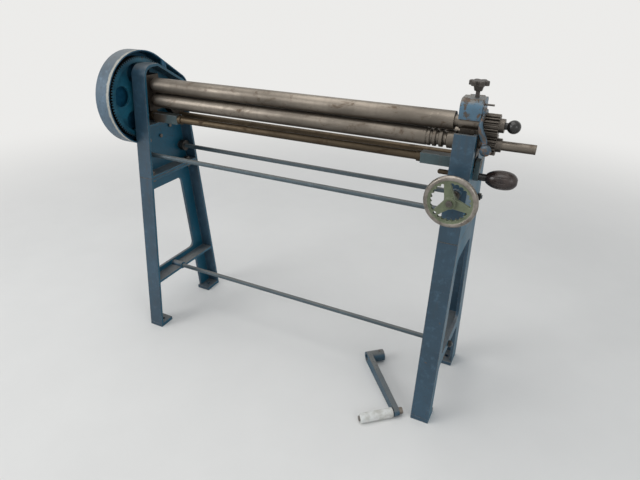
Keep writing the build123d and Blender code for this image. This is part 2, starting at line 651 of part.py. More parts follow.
with BuildPart() as upper_roll:
    disc(LEFT_X - UPPER_NECK_PROUD, ROLL_X0, ROLL_Y, UPPER_Z, NECK_R)
    disc(ROLL_X0, ROLL_X1 - UPPER_SHORT, ROLL_Y, UPPER_Z, ROLL_R)
    disc(ROLL_X1 - UPPER_SHORT, RIGHT_X + UPPER_JOURNAL, ROLL_Y, UPPER_Z, NECK_R)
    disc(RIGHT_X + UPPER_JOURNAL, PINION_X0 - UPPER_SHOULDER, ROLL_Y, UPPER_Z, UPPER_RIGHT_NECK_R)
    disc(PINION_X0 - UPPER_SHOULDER, PINION_X1 + PINION_HUB, ROLL_Y, UPPER_Z, PINION_SEAT_R)
    disc(PINION_X1 + PINION_HUB, RIGHT_X + BALL_KNOB_X, ROLL_Y, UPPER_Z, BALL_SPIGOT_R)
finish(upper_roll, "upper_roll")

with BuildPart() as rear_roll:
    disc(LEFT_ARM_X, ROLL_X0, REAR_ROLL_Y, LOWER_Z, REAR_NECK_R)
    disc(ROLL_X0, ROLL_X1, REAR_ROLL_Y, LOWER_Z, ROLL_R)
    disc(ROLL_X1, RIGHT_ARM_X + ARM_WIDTH, REAR_ROLL_Y, LOWER_Z, REAR_NECK_R)
    for from_end, radius in GROOVES:
        with Locations((ROLL_X1 - from_end, REAR_ROLL_Y, LOWER_Z)):
            Torus(ROLL_R, radius, rotation=(0, 90, 0), mode=Mode.SUBTRACT)
finish(rear_roll, "rear_roll")

with BuildPart() as ball_knob:
    with Locations((RIGHT_X + BALL_KNOB_X, ROLL_Y, UPPER_Z)):
        Sphere(BALL_KNOB_R)
    disc(PINION_X1 + PINION_HUB, RIGHT_X + BALL_KNOB_X, ROLL_Y, UPPER_Z, BALL_NECK_R)
    disc(PINION_X1 + PINION_HUB - 1, RIGHT_X + BALL_KNOB_X + SEAT, ROLL_Y, UPPER_Z,
         BALL_SPIGOT_R + RUNNING, Mode.SUBTRACT)
finish(ball_knob, "ball_knob")


# ================================================================= gears
def pinion(name, z):
    """Pinion and hub on the right end of a front roll."""
    with BuildPart() as piece:
        toothed(PINION_X0, PINION_X1, ROLL_Y, z, PINION_TEETH, 90)
        disc(PINION_X1, PINION_X1 + PINION_HUB, ROLL_Y, z, PINION_HUB_R)
        disc(PINION_X0 - 1, PINION_X1 + PINION_HUB + 1, ROLL_Y, z,
             PINION_SEAT_R + RUNNING, Mode.SUBTRACT)
    finish(piece, name)


pinion("lower_pinion", LOWER_Z)
pinion("upper_pinion", UPPER_Z)

with BuildPart() as main_gear:
    toothed(GEAR_X0, GEAR_X1, ROLL_Y, LOWER_Z, MAIN_TEETH, 0)
    rim_inner_r = PINION_MODULE * MAIN_TEETH / 2 - GEAR_RIM
    recess = (GEAR_FACE - GEAR_WEB) / 2
    for face_x, step in ((GEAR_X0, recess), (GEAR_X1, -recess)):
        with BuildSketch(Plane.YZ.offset(face_x)) as pocket:
            with Locations((ROLL_Y, LOWER_Z)):
                Circle(rim_inner_r)
                Circle(GEAR_HUB_R, mode=Mode.SUBTRACT)
        extrude(pocket.sketch, amount=step, mode=Mode.SUBTRACT)
    with BuildSketch(Plane.YZ.offset(GEAR_X0 - 1)) as holes:
        with Locations((ROLL_Y, LOWER_Z)):
            with PolarLocations(GEAR_HOLE_PITCH_R, GEAR_HOLES, start_angle=GEAR_HOLE_ANGLE):
                Circle(GEAR_HOLE_R)
    extrude(holes.sketch, amount=GEAR_FACE + 2, mode=Mode.SUBTRACT)
    disc(GEAR_X0 - 1, GEAR_X1 + 1, ROLL_Y, LOWER_Z, GEAR_SEAT_R + RUNNING, Mode.SUBTRACT)
finish(main_gear, "main_gear")

with BuildPart() as drive_pinion:
    toothed(GEAR_X0, GEAR_X1, DRIVE_Y, DRIVE_Z, DRIVE_TEETH, 180 / DRIVE_TEETH)
    disc(GEAR_X0 - 1, GEAR_X1 + 1, DRIVE_Y, DRIVE_Z, DRIVE_SEAT_R + RUNNING, Mode.SUBTRACT)
finish(drive_pinion, "drive_pinion")

with BuildPart() as drive_shaft:
    disc(LEFT_X - HOOD_DEPTH - DRIVE_STUB, LEFT_X - HOOD_DEPTH, DRIVE_Y, DRIVE_Z, DRIVE_STUB_R)
    disc(LEFT_X - HOOD_DEPTH, GEAR_X1, DRIVE_Y, DRIVE_Z, DRIVE_SEAT_R)
    disc(GEAR_X1, LEFT_X + FRAME_WIDTH + SEAT + DRIVE_COLLAR, DRIVE_Y, DRIVE_Z, DRIVE_NECK_R)
finish(drive_shaft, "drive_shaft")

with BuildPart() as drive_collar:
    collar_x = LEFT_X + FRAME_WIDTH + SEAT
    disc(collar_x, collar_x + DRIVE_COLLAR, DRIVE_Y, DRIVE_Z, DRIVE_COLLAR_R)
    disc(collar_x - 1, collar_x + DRIVE_COLLAR + 1, DRIVE_Y, DRIVE_Z,
         DRIVE_NECK_R + RUNNING, Mode.SUBTRACT)
finish(drive_collar, "drive_collar")

# ================================================================= hood
with BuildPart() as gear_hood:
    hull(LEFT_X - HOOD_DEPTH, LEFT_X,
         [(ROLL_Y, LOWER_Z, HOOD_BIG_R), (DRIVE_Y, DRIVE_Z, HOOD_SMALL_R)])
    hull(LEFT_X - HOOD_DEPTH + HOOD_WALL, LEFT_X + 1,
         [(ROLL_Y, LOWER_Z, HOOD_BIG_R - HOOD_WALL), (DRIVE_Y, DRIVE_Z, HOOD_SMALL_R - HOOD_WALL)],
         Mode.SUBTRACT)
    disc(LEFT_X - HOOD_DEPTH - 1, LEFT_X - HOOD_DEPTH + HOOD_WALL + 1, DRIVE_Y, DRIVE_Z,
         DRIVE_SEAT_R + HOOD_SHAFT_GAP, Mode.SUBTRACT)
    wall_r = HOOD_BIG_R - HOOD_WALL / 2
    for y, z in hood_screws()[:-1]:
        outward = atan2(z - LOWER_Z, y - ROLL_Y)
        root = (ROLL_Y + wall_r * cos(outward), LOWER_Z + wall_r * sin(outward), HOOD_TAB_ROOT_R)
        hull(LEFT_X - HOOD_TAB, LEFT_X, [(y, z, HOOD_TAB_R), root])
    # the lug hangs from the straight run of the wall
    wall_slope = asin((HOOD_BIG_R - HOOD_SMALL_R) / GEAR_CENTRES)
    lug_front = HOOD_LUG_BACK - HOOD_LUG_WIDTH / 2
    lug_rear = HOOD_LUG_BACK + HOOD_LUG_WIDTH / 2
    lug_foot = HOOD_LUG_SCREW - HOOD_LUG_FOOT
    lug_tops = [(wall_r - back * sin(wall_slope)) / cos(wall_slope) for back in (lug_rear, lug_front)]
    with BuildSketch(Plane.YZ.offset(LEFT_X - HOOD_TAB)) as lug:
        with BuildLine():
            Polyline(near((lug_front, lug_foot)), near((lug_rear, lug_foot)),
                     near((lug_rear, lug_tops[0])), near((lug_front, lug_tops[1])), close=True)
        make_face()
    extrude(lug.sketch, amount=HOOD_TAB)
    for y, z in hood_screws():
        disc(LEFT_X - HOOD_TAB - 1, LEFT_X + 1, y, z, HOOD_SCREW_R + RUNNING, Mode.SUBTRACT)
finish(gear_hood, "gear_hood")

with BuildPart() as hood_screw_set:
    for y, z in hood_screws():
        disc(LEFT_X - HOOD_TAB, LEFT_X + WEB, y, z, HOOD_SCREW_R)
        hexagon(LEFT_X + WEB, LEFT_X + WEB + HOOD_SCREW_HEAD, y, z, HOOD_SCREW_HEAD_R)
finish(hood_screw_set, "hood_screws")


# ================================================================= bearing blocks
def block(name, web_x, inward, z0, z1, bores):
    """A bearing block that fills the window and has lips on the inner side of the web."""
    outer_x = web_x - BLOCK_PROUD if inward > 0 else web_x + WEB + BLOCK_PROUD
    lip_x = web_x + WEB + BLOCK_FIT if inward > 0 else web_x - BLOCK_FIT
    with BuildPart() as piece:
        bar(outer_x, outer_x + inward * BLOCK_WIDTH, WINDOW_Y0 + BLOCK_FIT, WINDOW_Y1 - BLOCK_FIT, z0, z1)
        bar(lip_x, lip_x + inward * BLOCK_LIP_THICKNESS, WINDOW_Y0 - BLOCK_LIP, WINDOW_Y1 + BLOCK_LIP,
            z0, z1)
        for z, radius in bores:
            disc(outer_x - inward, outer_x + inward * (BLOCK_WIDTH + 1), ROLL_Y, z, radius + RUNNING,
                 Mode.SUBTRACT)
    finish(piece, name)


BLOCK_JOINT = (LOWER_Z + UPPER_Z) / 2
block("left_lower_block", LEFT_X, 1, BLOCK_BOTTOM, BLOCK_JOINT, [(LOWER_Z, NECK_R)])
block("left_upper_block", LEFT_X, 1, BLOCK_JOINT, LOWER_Z + LEFT_BLOCK_RISE, [(UPPER_Z, NECK_R)])
block("right_block", RIGHT_WEB_X, -1, BLOCK_BOTTOM, LOWER_Z + RIGHT_BLOCK_RISE,
      [(LOWER_Z, NECK_R), (UPPER_Z, UPPER_RIGHT_NECK_R)])

# ================================================================= clamp shaft
with BuildPart() as clamp_shaft:
    disc(LEFT_X + CLAMP_START, EGG_ARM_X + EGG_ARM_THICKNESS, CLAMP_Y, CLAMP_Z, CLAMP_R)
finish(clamp_shaft, "clamp_shaft")


def cam(name, x0):
    """Eccentric disc on the clamp shaft, under a bearing block."""
    with BuildPart() as piece:
        cam_x = x0 + CAM_START
        disc(cam_x, cam_x + CAM_WIDTH, CLAMP_Y, CLAMP_Z + CAM_OFFSET, CAM_R)
        hull(cam_x, cam_x + CAM_WIDTH,
             [(CLAMP_Y, CLAMP_Z, CLAMP_R + CAM_WALL), (CLAMP_Y, CLAMP_Z + CAM_OFFSET, CAM_R)])
        disc(cam_x - 1, cam_x + CAM_WIDTH + 1, CLAMP_Y, CLAMP_Z, CLAMP_R + RUNNING, Mode.SUBTRACT)
    finish(piece, name)


cam("left_cam", LEFT_X)
cam("right_cam", RIGHT_X)


def support(name, x0, x1, foot_x0, foot_x1):
    """Square bearing of the clamp shaft, with a foot on the frame's shelf."""
    half = SUPPORT_SIZE / 2
    with BuildPart() as piece:
        bar(x0, x1, CLAMP_Y - half, CLAMP_Y + half, CLAMP_Z - half, CLAMP_Z + half)
        bar(foot_x0, foot_x1, CLAMP_Y - half, CLAMP_Y + half, SILL_Z, CLAMP_Z)
        disc(x0 - 1, x1 + 1, CLAMP_Y, CLAMP_Z, CLAMP_R + RUNNING, Mode.SUBTRACT)
    finish(piece, name)


LEFT_INNER_X = LEFT_X + FRAME_WIDTH
support("left_support", LEFT_INNER_X - SUPPORT_IN, LEFT_INNER_X + SUPPORT_OUT,
        LEFT_INNER_X - SUPPORT_IN, LEFT_INNER_X)
support("right_support", RIGHT_X - SUPPORT_OUT, RIGHT_X + SUPPORT_IN, RIGHT_X, RIGHT_X + SUPPORT_IN)

with BuildPart() as clamp_collars:
    for collar_x in (LEFT_INNER_X + SUPPORT_OUT + SEAT, RIGHT_X - SUPPORT_OUT - SEAT - SET_COLLAR):
        disc(collar_x, collar_x + SET_COLLAR, CLAMP_Y, CLAMP_Z, SET_COLLAR_R)
        disc(collar_x - 1, collar_x + SET_COLLAR + 1, CLAMP_Y, CLAMP_Z, CLAMP_R + RUNNING,
             Mode.SUBTRACT)
finish(clamp_collars, "clamp_collars")

with BuildPart() as egg_arm:
    hull(EGG_ARM_X, EGG_ARM_X + EGG_ARM_THICKNESS,
         [(CLAMP_Y, CLAMP_Z, EGG_ARM_R), (EGG_Y, EGG_Z, EGG_ARM_END_R)])
    disc(EGG_ARM_X - 1, EGG_ARM_X + EGG_ARM_THICKNESS + 1, CLAMP_Y, CLAMP_Z,
         CLAMP_R + RUNNING, Mode.SUBTRACT)
    disc(EGG_ARM_X - 1, EGG_ARM_X + EGG_ARM_THICKNESS + 1, EGG_Y, EGG_Z,
         EGG_SPINDLE_R + RUNNING, Mode.SUBTRACT)
finish(egg_arm, "egg_arm")

with BuildPart() as egg_spindle:
    disc(EGG_ARM_X, EGG_X0 + EGG_LENGTH - EGG_END_WALL - SEAT, EGG_Y, EGG_Z, EGG_SPINDLE_R)
    disc(EGG_ARM_X + EGG_ARM_THICKNESS, EGG_X0 - SEAT, EGG_Y, EGG_Z, EGG_COLLAR_R)
finish(egg_spindle, "egg_spindle")

with BuildPart() as egg_grip:
    with BuildSketch(Plane(origin=(EGG_X0, EGG_Y, EGG_Z), x_dir=(1, 0, 0), z_dir=(0, -1, 0))):
        with BuildLine():
            Spline((0, 0.5 * EGG_R), (0.22 * EGG_LENGTH, 0.88 * EGG_R), (0.55 * EGG_LENGTH, EGG_R),
                   (0.87 * EGG_LENGTH, 0.78 * EGG_R), (EGG_LENGTH, 0.3 * EGG_R))
            Polyline((EGG_LENGTH, 0.3 * EGG_R), (EGG_LENGTH, 0), (0, 0), (0, 0.5 * EGG_R))
        make_face()
    revolve(axis=Axis((EGG_X0, EGG_Y, EGG_Z), (1, 0, 0)))
    with BuildSketch(Plane.YZ.offset(EGG_X0 - 1)) as flutes:
        with Locations((EGG_Y, EGG_Z)):
            with PolarLocations(EGG_R + EGG_FLUTE_R / 2, EGG_FLUTES):
                Circle(EGG_FLUTE_R)
    extrude(flutes.sketch, amount=EGG_LENGTH + 2, mode=Mode.SUBTRACT)
    disc(EGG_X0 - 1, EGG_X0 + EGG_LENGTH - EGG_END_WALL, EGG_Y, EGG_Z,
         EGG_SPINDLE_R + RUNNING, Mode.SUBTRACT)
finish(egg_grip, "egg_grip")

# ================================================================= rear roll lift
with BuildPart() as pivot_shaft:
    disc(LEFT_X, RIGHT_X + FRAME_WIDTH, PIVOT_Y, PIVOT_Z, PIVOT_R)
finish(pivot_shaft, "pivot_shaft")

with BuildPart() as left_arm:
    hull(LEFT_ARM_X, LEFT_ARM_X + ARM_WIDTH,
         [(PIVOT_Y, PIVOT_Z, ARM_HUB_R), (REAR_ROLL_Y, LOWER_Z, ARM_ROLL_HUB_R)])
    disc(LEFT_ARM_X - 1, LEFT_ARM_X + ARM_WIDTH + 1, PIVOT_Y, PIVOT_Z,
         PIVOT_R + RUNNING, Mode.SUBTRACT)
    disc(LEFT_ARM_X - 1, LEFT_ARM_X + ARM_WIDTH + 1, REAR_ROLL_Y, LOWER_Z,
         REAR_NECK_R + RUNNING, Mode.SUBTRACT)
finish(left_arm, "left_arm")

with BuildPart() as right_arm:
    fork_half = NUT_WIDTH / 2 + FORK_PLAY + FORK_CHEEK
    fork_inner = NUT_WIDTH / 2 + FORK_PLAY
    hull(RIGHT_ARM_X, RIGHT_ARM_X + ARM_WIDTH,
         [(PIVOT_Y, PIVOT_Z, ARM_HUB_R), (REAR_ROLL_Y, LOWER_Z, ARM_ROLL_HUB_R)])
    hull(WHEEL_X - fork_half, WHEEL_X + fork_half,
         [(PIVOT_Y, PIVOT_Z, ARM_HUB_R), (SCREW_NUT_Y, WHEEL_Z, TAIL_R)])
    bar(WHEEL_X - fork_inner, WHEEL_X + fork_inner, PIVOT_Y - TAIL_LENGTH, PIVOT_Y + TAIL_LENGTH,
        WHEEL_Z - TAIL_R - 1, WHEEL_Z + TAIL_R + FORK_CHEEK, Mode.SUBTRACT)
    slot_ends = []
    for along in (-FORK_SLOT, FORK_SLOT):
        slot_ends.append((SCREW_NUT_Y - along * sin(TAIL_REST_ANGLE),
                          WHEEL_Z + along * cos(TAIL_REST_ANGLE), NUT_PIN_R + SEAT))
    hull(WHEEL_X - fork_half - 1, WHEEL_X + fork_half + 1, slot_ends, Mode.SUBTRACT)
    disc(RIGHT_ARM_X - 1, WHEEL_X + fork_half + 1, PIVOT_Y, PIVOT_Z,
         PIVOT_R + RUNNING, Mode.SUBTRACT)
    disc(RIGHT_ARM_X - 1, WHEEL_X + fork_half + 1, REAR_ROLL_Y, LOWER_Z,
         REAR_NECK_R + RUNNING, Mode.SUBTRACT)
finish(right_arm, "right_arm")

# ================================================================= handwheel and screw
hub_y = FRONT_Y + WHEEL_HUB_U

with BuildPart() as lift_screw:
    rod(WHEEL_X, WHEEL_Z, hub_y - WHEEL_NUT, BUSH_Y0 - SEAT, WHEEL_SEAT_R)
    rod(WHEEL_X, WHEEL_Z, BUSH_Y0 - SEAT - SCREW_COLLAR, BUSH_Y0 - SEAT, SCREW_COLLAR_R)
    rod(WHEEL_X, WHEEL_Z, BUSH_Y0 - SEAT, SCREW_NUT_Y + NUT_SIZE / 2 + SCREW_PAST_NUT, SCREW_R)
finish(lift_screw, "lift_screw")

with BuildPart() as screw_collar:
    rod(WHEEL_X, WHEEL_Z, BUSH_Y1 + SEAT, BUSH_Y1 + SEAT + SCREW_COLLAR, SCREW_COLLAR_R)
    rod(WHEEL_X, WHEEL_Z, BUSH_Y1 - 1, BUSH_Y1 + SCREW_COLLAR + 2, SCREW_R + RUNNING,
        Mode.SUBTRACT)
finish(screw_collar, "screw_collar")

with BuildPart() as screw_nut:
    bar(WHEEL_X - NUT_WIDTH / 2, WHEEL_X + NUT_WIDTH / 2, SCREW_NUT_Y - NUT_SIZE / 2,
        SCREW_NUT_Y + NUT_SIZE / 2, WHEEL_Z - NUT_SIZE / 2, WHEEL_Z + NUT_SIZE / 2)
    disc(WHEEL_X - fork_half, WHEEL_X + fork_half, SCREW_NUT_Y, WHEEL_Z, NUT_PIN_R)
    rod(WHEEL_X, WHEEL_Z, SCREW_NUT_Y - NUT_SIZE, SCREW_NUT_Y + NUT_SIZE, SCREW_R + RUNNING,
        Mode.SUBTRACT)
finish(screw_nut, "screw_nut")

with BuildPart() as handwheel:
    rim_y = hub_y + WHEEL_HUB_LENGTH / 2
    rim_r = WHEEL_R - WHEEL_RIM_R
    spoke_slope = degrees(atan2(rim_r, (WHEEL_SPOKE_ROOT - WHEEL_SPOKE_TIP) / 2))
    with Locations((WHEEL_X, rim_y, WHEEL_Z)):
        Torus(rim_r, WHEEL_RIM_R, rotation=(90, 0, 0))
    rod(WHEEL_X, WHEEL_Z, hub_y, hub_y + WHEEL_HUB_LENGTH, WHEEL_HUB_R)
    with BuildSketch(Plane.XZ.offset(-(rim_y - WHEEL_BAND_THICKNESS / 2))) as band:
        with Locations((WHEEL_X, WHEEL_Z)):
            Circle(rim_r - WHEEL_RIM_R / 2)
            Circle(WHEEL_BAND_R, mode=Mode.SUBTRACT)
            with PolarLocations(WHEEL_BAND_R, WHEEL_SCALLOPS):
                Circle(WHEEL_SCALLOP_R, mode=Mode.SUBTRACT)
            with PolarLocations(rim_r / 2, WHEEL_SPOKES, start_angle=WHEEL_SPOKE_ANGLE):
                Trapezoid(WHEEL_SPOKE_ROOT, rim_r, spoke_slope, rotation=-90)
    extrude(band.sketch, amount=-WHEEL_BAND_THICKNESS)
    hole_angle = radians(WHEEL_SPOKE_ANGLE + 360 / WHEEL_SPOKES)
    hole_r = WHEEL_BAND_R + WHEEL_HANDLE_HOLE_R
    rod(WHEEL_X + hole_r * cos(hole_angle), WHEEL_Z + hole_r * sin(hole_angle),
        hub_y - 1, hub_y + WHEEL_HUB_LENGTH, WHEEL_HANDLE_HOLE_R, Mode.SUBTRACT)
    rod(WHEEL_X, WHEEL_Z, hub_y - 1, hub_y + WHEEL_HUB_LENGTH + 1, WHEEL_SEAT_R + RUNNING,
        Mode.SUBTRACT)
finish(handwheel, "handwheel")

with BuildPart() as wheel_nut:
    with BuildSketch(Plane.XZ.offset(-(hub_y - WHEEL_NUT))) as nut_profile:
        with Locations((WHEEL_X, WHEEL_Z)):
            RegularPolygon(WHEEL_NUT_R, 6)
            Circle(WHEEL_SEAT_R + RUNNING, mode=Mode.SUBTRACT)
    extrude(nut_profile.sketch, amount=-WHEEL_NUT)
finish(wheel_nut, "wheel_nut")

# ================================================================= bearing cap
CAP_Y0 = ROLL_Y + CAP_FRONT
CAP_Y1 = ROLL_Y + CAP_REAR
CAP_BOTTOM_Z = LOWER_Z + CAP_BOTTOM
HINGE_Y, HINGE_Z = near(CAP_HINGE)
LOCK_Y, LOCK_Z = near(LOCK_PIVOT)
TOMMY_Y, TOMMY_Z = near(TOMMY_PIN)

with BuildPart() as bearing_cap:
    with BuildSketch(Plane.YZ.offset(RIGHT_X)) as cap_profile:
        with BuildLine():
            Polyline((CAP_Y0, CAP_BOTTOM_Z), (CAP_Y1, CAP_BOTTOM_Z), (CAP_Y1, CAP_TOP_Z),
                     (CAP_Y0, CAP_TOP_Z), close=True)
        make_face()
        fillet(cap_profile.vertices().group_by(Axis.Y)[-1].sort_by(Axis.X)[0], CAP_ROUND)
        fillet(cap_profile.vertices().group_by(Axis.Y)[-1].sort_by(Axis.X)[-1], CAP_REAR_ROUND)
    extrude(cap_profile.sketch, amount=FRAME_WIDTH)
    hull(RIGHT_X + WEB + SEAT, RIGHT_WEB_X - SEAT,
         [(HINGE_Y, HINGE_Z, CAP_HINGE_R), (CAP_Y1, CAP_TOP_Z - CAP_HINGE_R, CAP_HINGE_R),
          (CAP_Y1 - CAP_HINGE_R, CAP_BOTTOM_Z + CAP_HINGE_R, CAP_HINGE_R)])
    disc(RIGHT_X - 1, RIGHT_X + FRAME_WIDTH + 1, ROLL_Y, UPPER_Z, UPPER_RIGHT_NECK_R + RUNNING,
         Mode.SUBTRACT)
    disc(RIGHT_X, RIGHT_X + FRAME_WIDTH, HINGE_Y, HINGE_Z, CAP_PIN_R + RUNNING, Mode.SUBTRACT)
    disc(RIGHT_X + FRAME_WIDTH - LOCK_PIN_DEPTH, RIGHT_X + FRAME_WIDTH + 1, LOCK_Y, LOCK_Z,
         LOCK_PIN_R + RUNNING, Mode.SUBTRACT)
    disc(RIGHT_X + FRAME_WIDTH - TOMMY_PIN_IN, RIGHT_X + FRAME_WIDTH + 1, TOMMY_Y, TOMMY_Z,
         TOMMY_PIN_R + RUNNING, Mode.SUBTRACT)
    with BuildSketch(Plane.XY.offset(UPPER_Z)) as star_hole:
        with Locations(STAR_POINT):
            Circle(STAR_SCREW_R + RUNNING)
    extrude(star_hole.sketch, amount=CAP_TOP_Z - UPPER_Z + 1, mode=Mode.SUBTRACT)
finish(bearing_cap, "bearing_cap")

with BuildPart() as cap_hinge_pin:
    disc(RIGHT_X - BLOCK_PROUD, RIGHT_X + FRAME_WIDTH + BLOCK_PROUD, HINGE_Y, HINGE_Z, CAP_PIN_R)
finish(cap_hinge_pin, "cap_hinge_pin")

with BuildPart() as star_knob:
    hub_z = CAP_TOP_Z + STAR_STEM
    disc_z = hub_z + STAR_HUB
    with BuildSketch(Plane.XY.offset(disc_z)) as star:
        with Locations(STAR_POINT):
            Circle(STAR_KNOB_R - STAR_LOBE_R)
            with PolarLocations(STAR_KNOB_R - STAR_LOBE_R, STAR_LOBES):
                Circle(STAR_LOBE_R)
    extrude(star.sketch, amount=STAR_HEIGHT)
    fillet(star_knob.edges().group_by(Axis.Z)[-1], STAR_EDGE)
    with BuildSketch(Plane.XY.offset(hub_z)) as hub_foot:
        with Locations(STAR_POINT):
            Circle(STAR_HUB_R[0])
    hub_taper = degrees(atan2(STAR_HUB_R[1] - STAR_HUB_R[0], STAR_HUB))
    extrude(hub_foot.sketch, amount=STAR_HUB, taper=-hub_taper)
    with BuildSketch(Plane.XY.offset(LOWER_Z + STAR_SCREW_TIP)) as star_screw:
        with Locations(STAR_POINT):
            Circle(STAR_SCREW_R)
    extrude(star_screw.sketch, amount=hub_z - LOWER_Z - STAR_SCREW_TIP)
finish(star_knob, "star_knob")

LEVER_X = RIGHT_X + FRAME_WIDTH + SEAT
LEVER_MID_X = LEVER_X + LOCK_HUB / 2
BALL_POINT = Vector(RIGHT_X + LOCK_BALL_X, *near(LOCK_BALL))
BEND_POINT = Vector(LEVER_MID_X, *near(LOCK_BEND))
HUB_POINT = Vector(LEVER_MID_X, LOCK_Y, LOCK_Z)

with BuildPart() as lock_lever:
    upper_leg = (BEND_POINT - HUB_POINT).normalized()
    lower_leg = (BALL_POINT - BEND_POINT).normalized()
    neck_point = BALL_POINT - lower_leg * (LOCK_BALL_R - SEAT)
    stations = ((HUB_POINT, upper_leg), (HUB_POINT + (BEND_POINT - HUB_POINT) / 2, upper_leg),
                (BEND_POINT, (upper_leg + lower_leg).normalized()),
                (BEND_POINT + (neck_point - BEND_POINT) / 2, lower_leg), (neck_point, lower_leg))
    lever_profiles = []
    for (place, along), (half_x, half_y) in zip(stations, LOCK_SECTIONS):
        with BuildSketch(Plane(origin=place, x_dir=(1, 0, 0), z_dir=along)) as lever_profile:
            Ellipse(half_x, half_y)
        lever_profiles.append(lever_profile.sketch)
    loft(lever_profiles)
    disc(LEVER_X, LEVER_X + LOCK_HUB, LOCK_Y, LOCK_Z, LOCK_HUB_R)
    disc(LEVER_X - 1, LEVER_X + LOCK_HUB + 1, LOCK_Y, LOCK_Z, LOCK_PIN_R + RUNNING, Mode.SUBTRACT)
    with BuildSketch(Plane(origin=BALL_POINT, z_dir=-lower_leg)) as lever_neck:
        Circle(LOCK_NECK_R)
    extrude(lever_neck.sketch, amount=LOCK_BALL_R)
finish(lock_lever, "lock_lever")

with BuildPart() as lock_ball:
    with Locations(BALL_POINT):
        Sphere(LOCK_BALL_R)
    with BuildSketch(Plane(origin=BALL_POINT, z_dir=-lower_leg)) as ball_bore:
        Circle(LOCK_NECK_R + RUNNING)
    extrude(ball_bore.sketch, amount=LOCK_BALL_R + 1, mode=Mode.SUBTRACT)
finish(lock_ball, "lock_ball")

with BuildPart() as lock_pin:
    disc(RIGHT_X + FRAME_WIDTH - LOCK_PIN_DEPTH, LEVER_X + LOCK_HUB, LOCK_Y, LOCK_Z, LOCK_PIN_R)
finish(lock_pin, "lock_pin")

with BuildPart() as tommy_pin:
    disc(RIGHT_X + FRAME_WIDTH - TOMMY_PIN_IN, RIGHT_X + FRAME_WIDTH + TOMMY_PIN_OUT,
         TOMMY_Y, TOMMY_Z, TOMMY_PIN_R)
finish(tommy_pin, "tommy_pin")


# ================================================================= tie rods
def tie_rod(name, place, left_shoulder, right_shoulder):
    """A rod with a full-size middle and thinner ends through both frames."""
    y, z = place
    with BuildPart() as piece:
        disc(left_shoulder, right_shoulder, y, z, TIE_R)
        disc(LEFT_X - NUT_THICKNESS - ROD_PROUD, left_shoulder, y, z, TIE_END_R)
        disc(right_shoulder, RIGHT_X + FRAME_WIDTH + NUT_THICKNESS + ROD_PROUD, y, z, TIE_END_R)
    finish(piece, name)


MIDDLE_SHOULDER = LEFT_X + WEB + BOSS
tie_rod("front_tie_rod", near(TIE_FRONT), MIDDLE_SHOULDER, RIGHT_WEB_X - BOSS)
tie_rod("rear_tie_rod", near(TIE_REAR), MIDDLE_SHOULDER, RIGHT_WEB_X - BOSS)
tie_rod("low_tie_rod", at(*TIE_LOW), LEFT_X + FRAME_WIDTH, RIGHT_X)

with BuildPart() as tie_rod_nuts:
    for y, z in (near(TIE_FRONT), near(TIE_REAR), at(*TIE_LOW)):
        for nut_x in (LEFT_X - NUT_THICKNESS, RIGHT_X + FRAME_WIDTH):
            hexagon(nut_x, nut_x + NUT_THICKNESS, y, z, NUT_R)
            disc(nut_x - 1, nut_x + NUT_THICKNESS + 1, y, z, TIE_END_R + RUNNING, Mode.SUBTRACT)
finish(tie_rod_nuts, "tie_rod_nuts")

with BuildPart() as rod_collar:
    y, z = near(TIE_REAR)
    disc(MIDDLE_SHOULDER, MIDDLE_SHOULDER + ROD_COLLAR, y, z, ROD_COLLAR_R)
    disc(MIDDLE_SHOULDER - 1, MIDDLE_SHOULDER + ROD_COLLAR + 1, y, z, TIE_R + RUNNING,
         Mode.SUBTRACT)
finish(rod_collar, "rod_collar")

# ================================================================= fasteners of the frames
BOLT_PLACES = frame_bolt_places(LEFT_X) + frame_bolt_places(RIGHT_X)

with BuildPart() as frame_bolts:
    with BuildSketch(Plane.XY.offset(STAND_HEIGHT + FLANGE)) as bolt_heads:
        with Locations(*BOLT_PLACES):
            RegularPolygon(FRAME_BOLT_HEAD_R, 6)
    extrude(bolt_heads.sketch, amount=FRAME_BOLT_HEAD)
    with BuildSketch(Plane.XY.offset(STAND_HEIGHT + FLANGE)) as bolt_shanks:
        with Locations(*BOLT_PLACES):
            Circle(FRAME_BOLT_R)
    extrude(bolt_shanks.sketch, amount=-(2 * FLANGE + NUT_THICKNESS + ROD_PROUD))
finish(frame_bolts, "frame_bolts")

with BuildPart() as frame_bolt_nuts:
    with BuildSketch(Plane.XY.offset(STAND_HEIGHT - FLANGE)) as bolt_nuts:
        with Locations(*BOLT_PLACES):
            RegularPolygon(FRAME_BOLT_HEAD_R, 6)
            Circle(FRAME_BOLT_R + RUNNING, mode=Mode.SUBTRACT)
    extrude(bolt_nuts.sketch, amount=-NUT_THICKNESS)
finish(frame_bolt_nuts, "frame_bolt_nuts")

with BuildPart() as stop_pin:
    y, z = near(STOP_PIN)
    disc(RIGHT_X - STOP_PIN_OUT + STOP_PIN_R, RIGHT_WEB_X, y, z, STOP_PIN_R)
    with Locations((RIGHT_X - STOP_PIN_OUT + STOP_PIN_R, y, z)):
        Sphere(STOP_PIN_R)
finish(stop_pin, "stop_pin")

# ================================================================= loose crank
CRANK_AXIS = Vector(cos(radians(CRANK_ANGLE)), sin(radians(CRANK_ANGLE)), 0)
CRANK_DROP = CRANK_HUB_R - GRIP_R
CRANK_REACH = sqrt(CRANK_THROW ** 2 - CRANK_DROP ** 2)
CRANK_DIRECTION = Vector(sin(radians(CRANK_ANGLE)) * CRANK_REACH,
                         -cos(radians(CRANK_ANGLE)) * CRANK_REACH, -CRANK_DROP)
CRANK_HUB_POINT = Vector(RIGHT_X + CRANK_X, FRONT_Y + CRANK_U, CRANK_HUB_R)
CRANK_PLANE = Plane(origin=CRANK_HUB_POINT, x_dir=CRANK_DIRECTION, z_dir=CRANK_AXIS)
CRANK_SIDE = CRANK_ARM_THICKNESS / 2


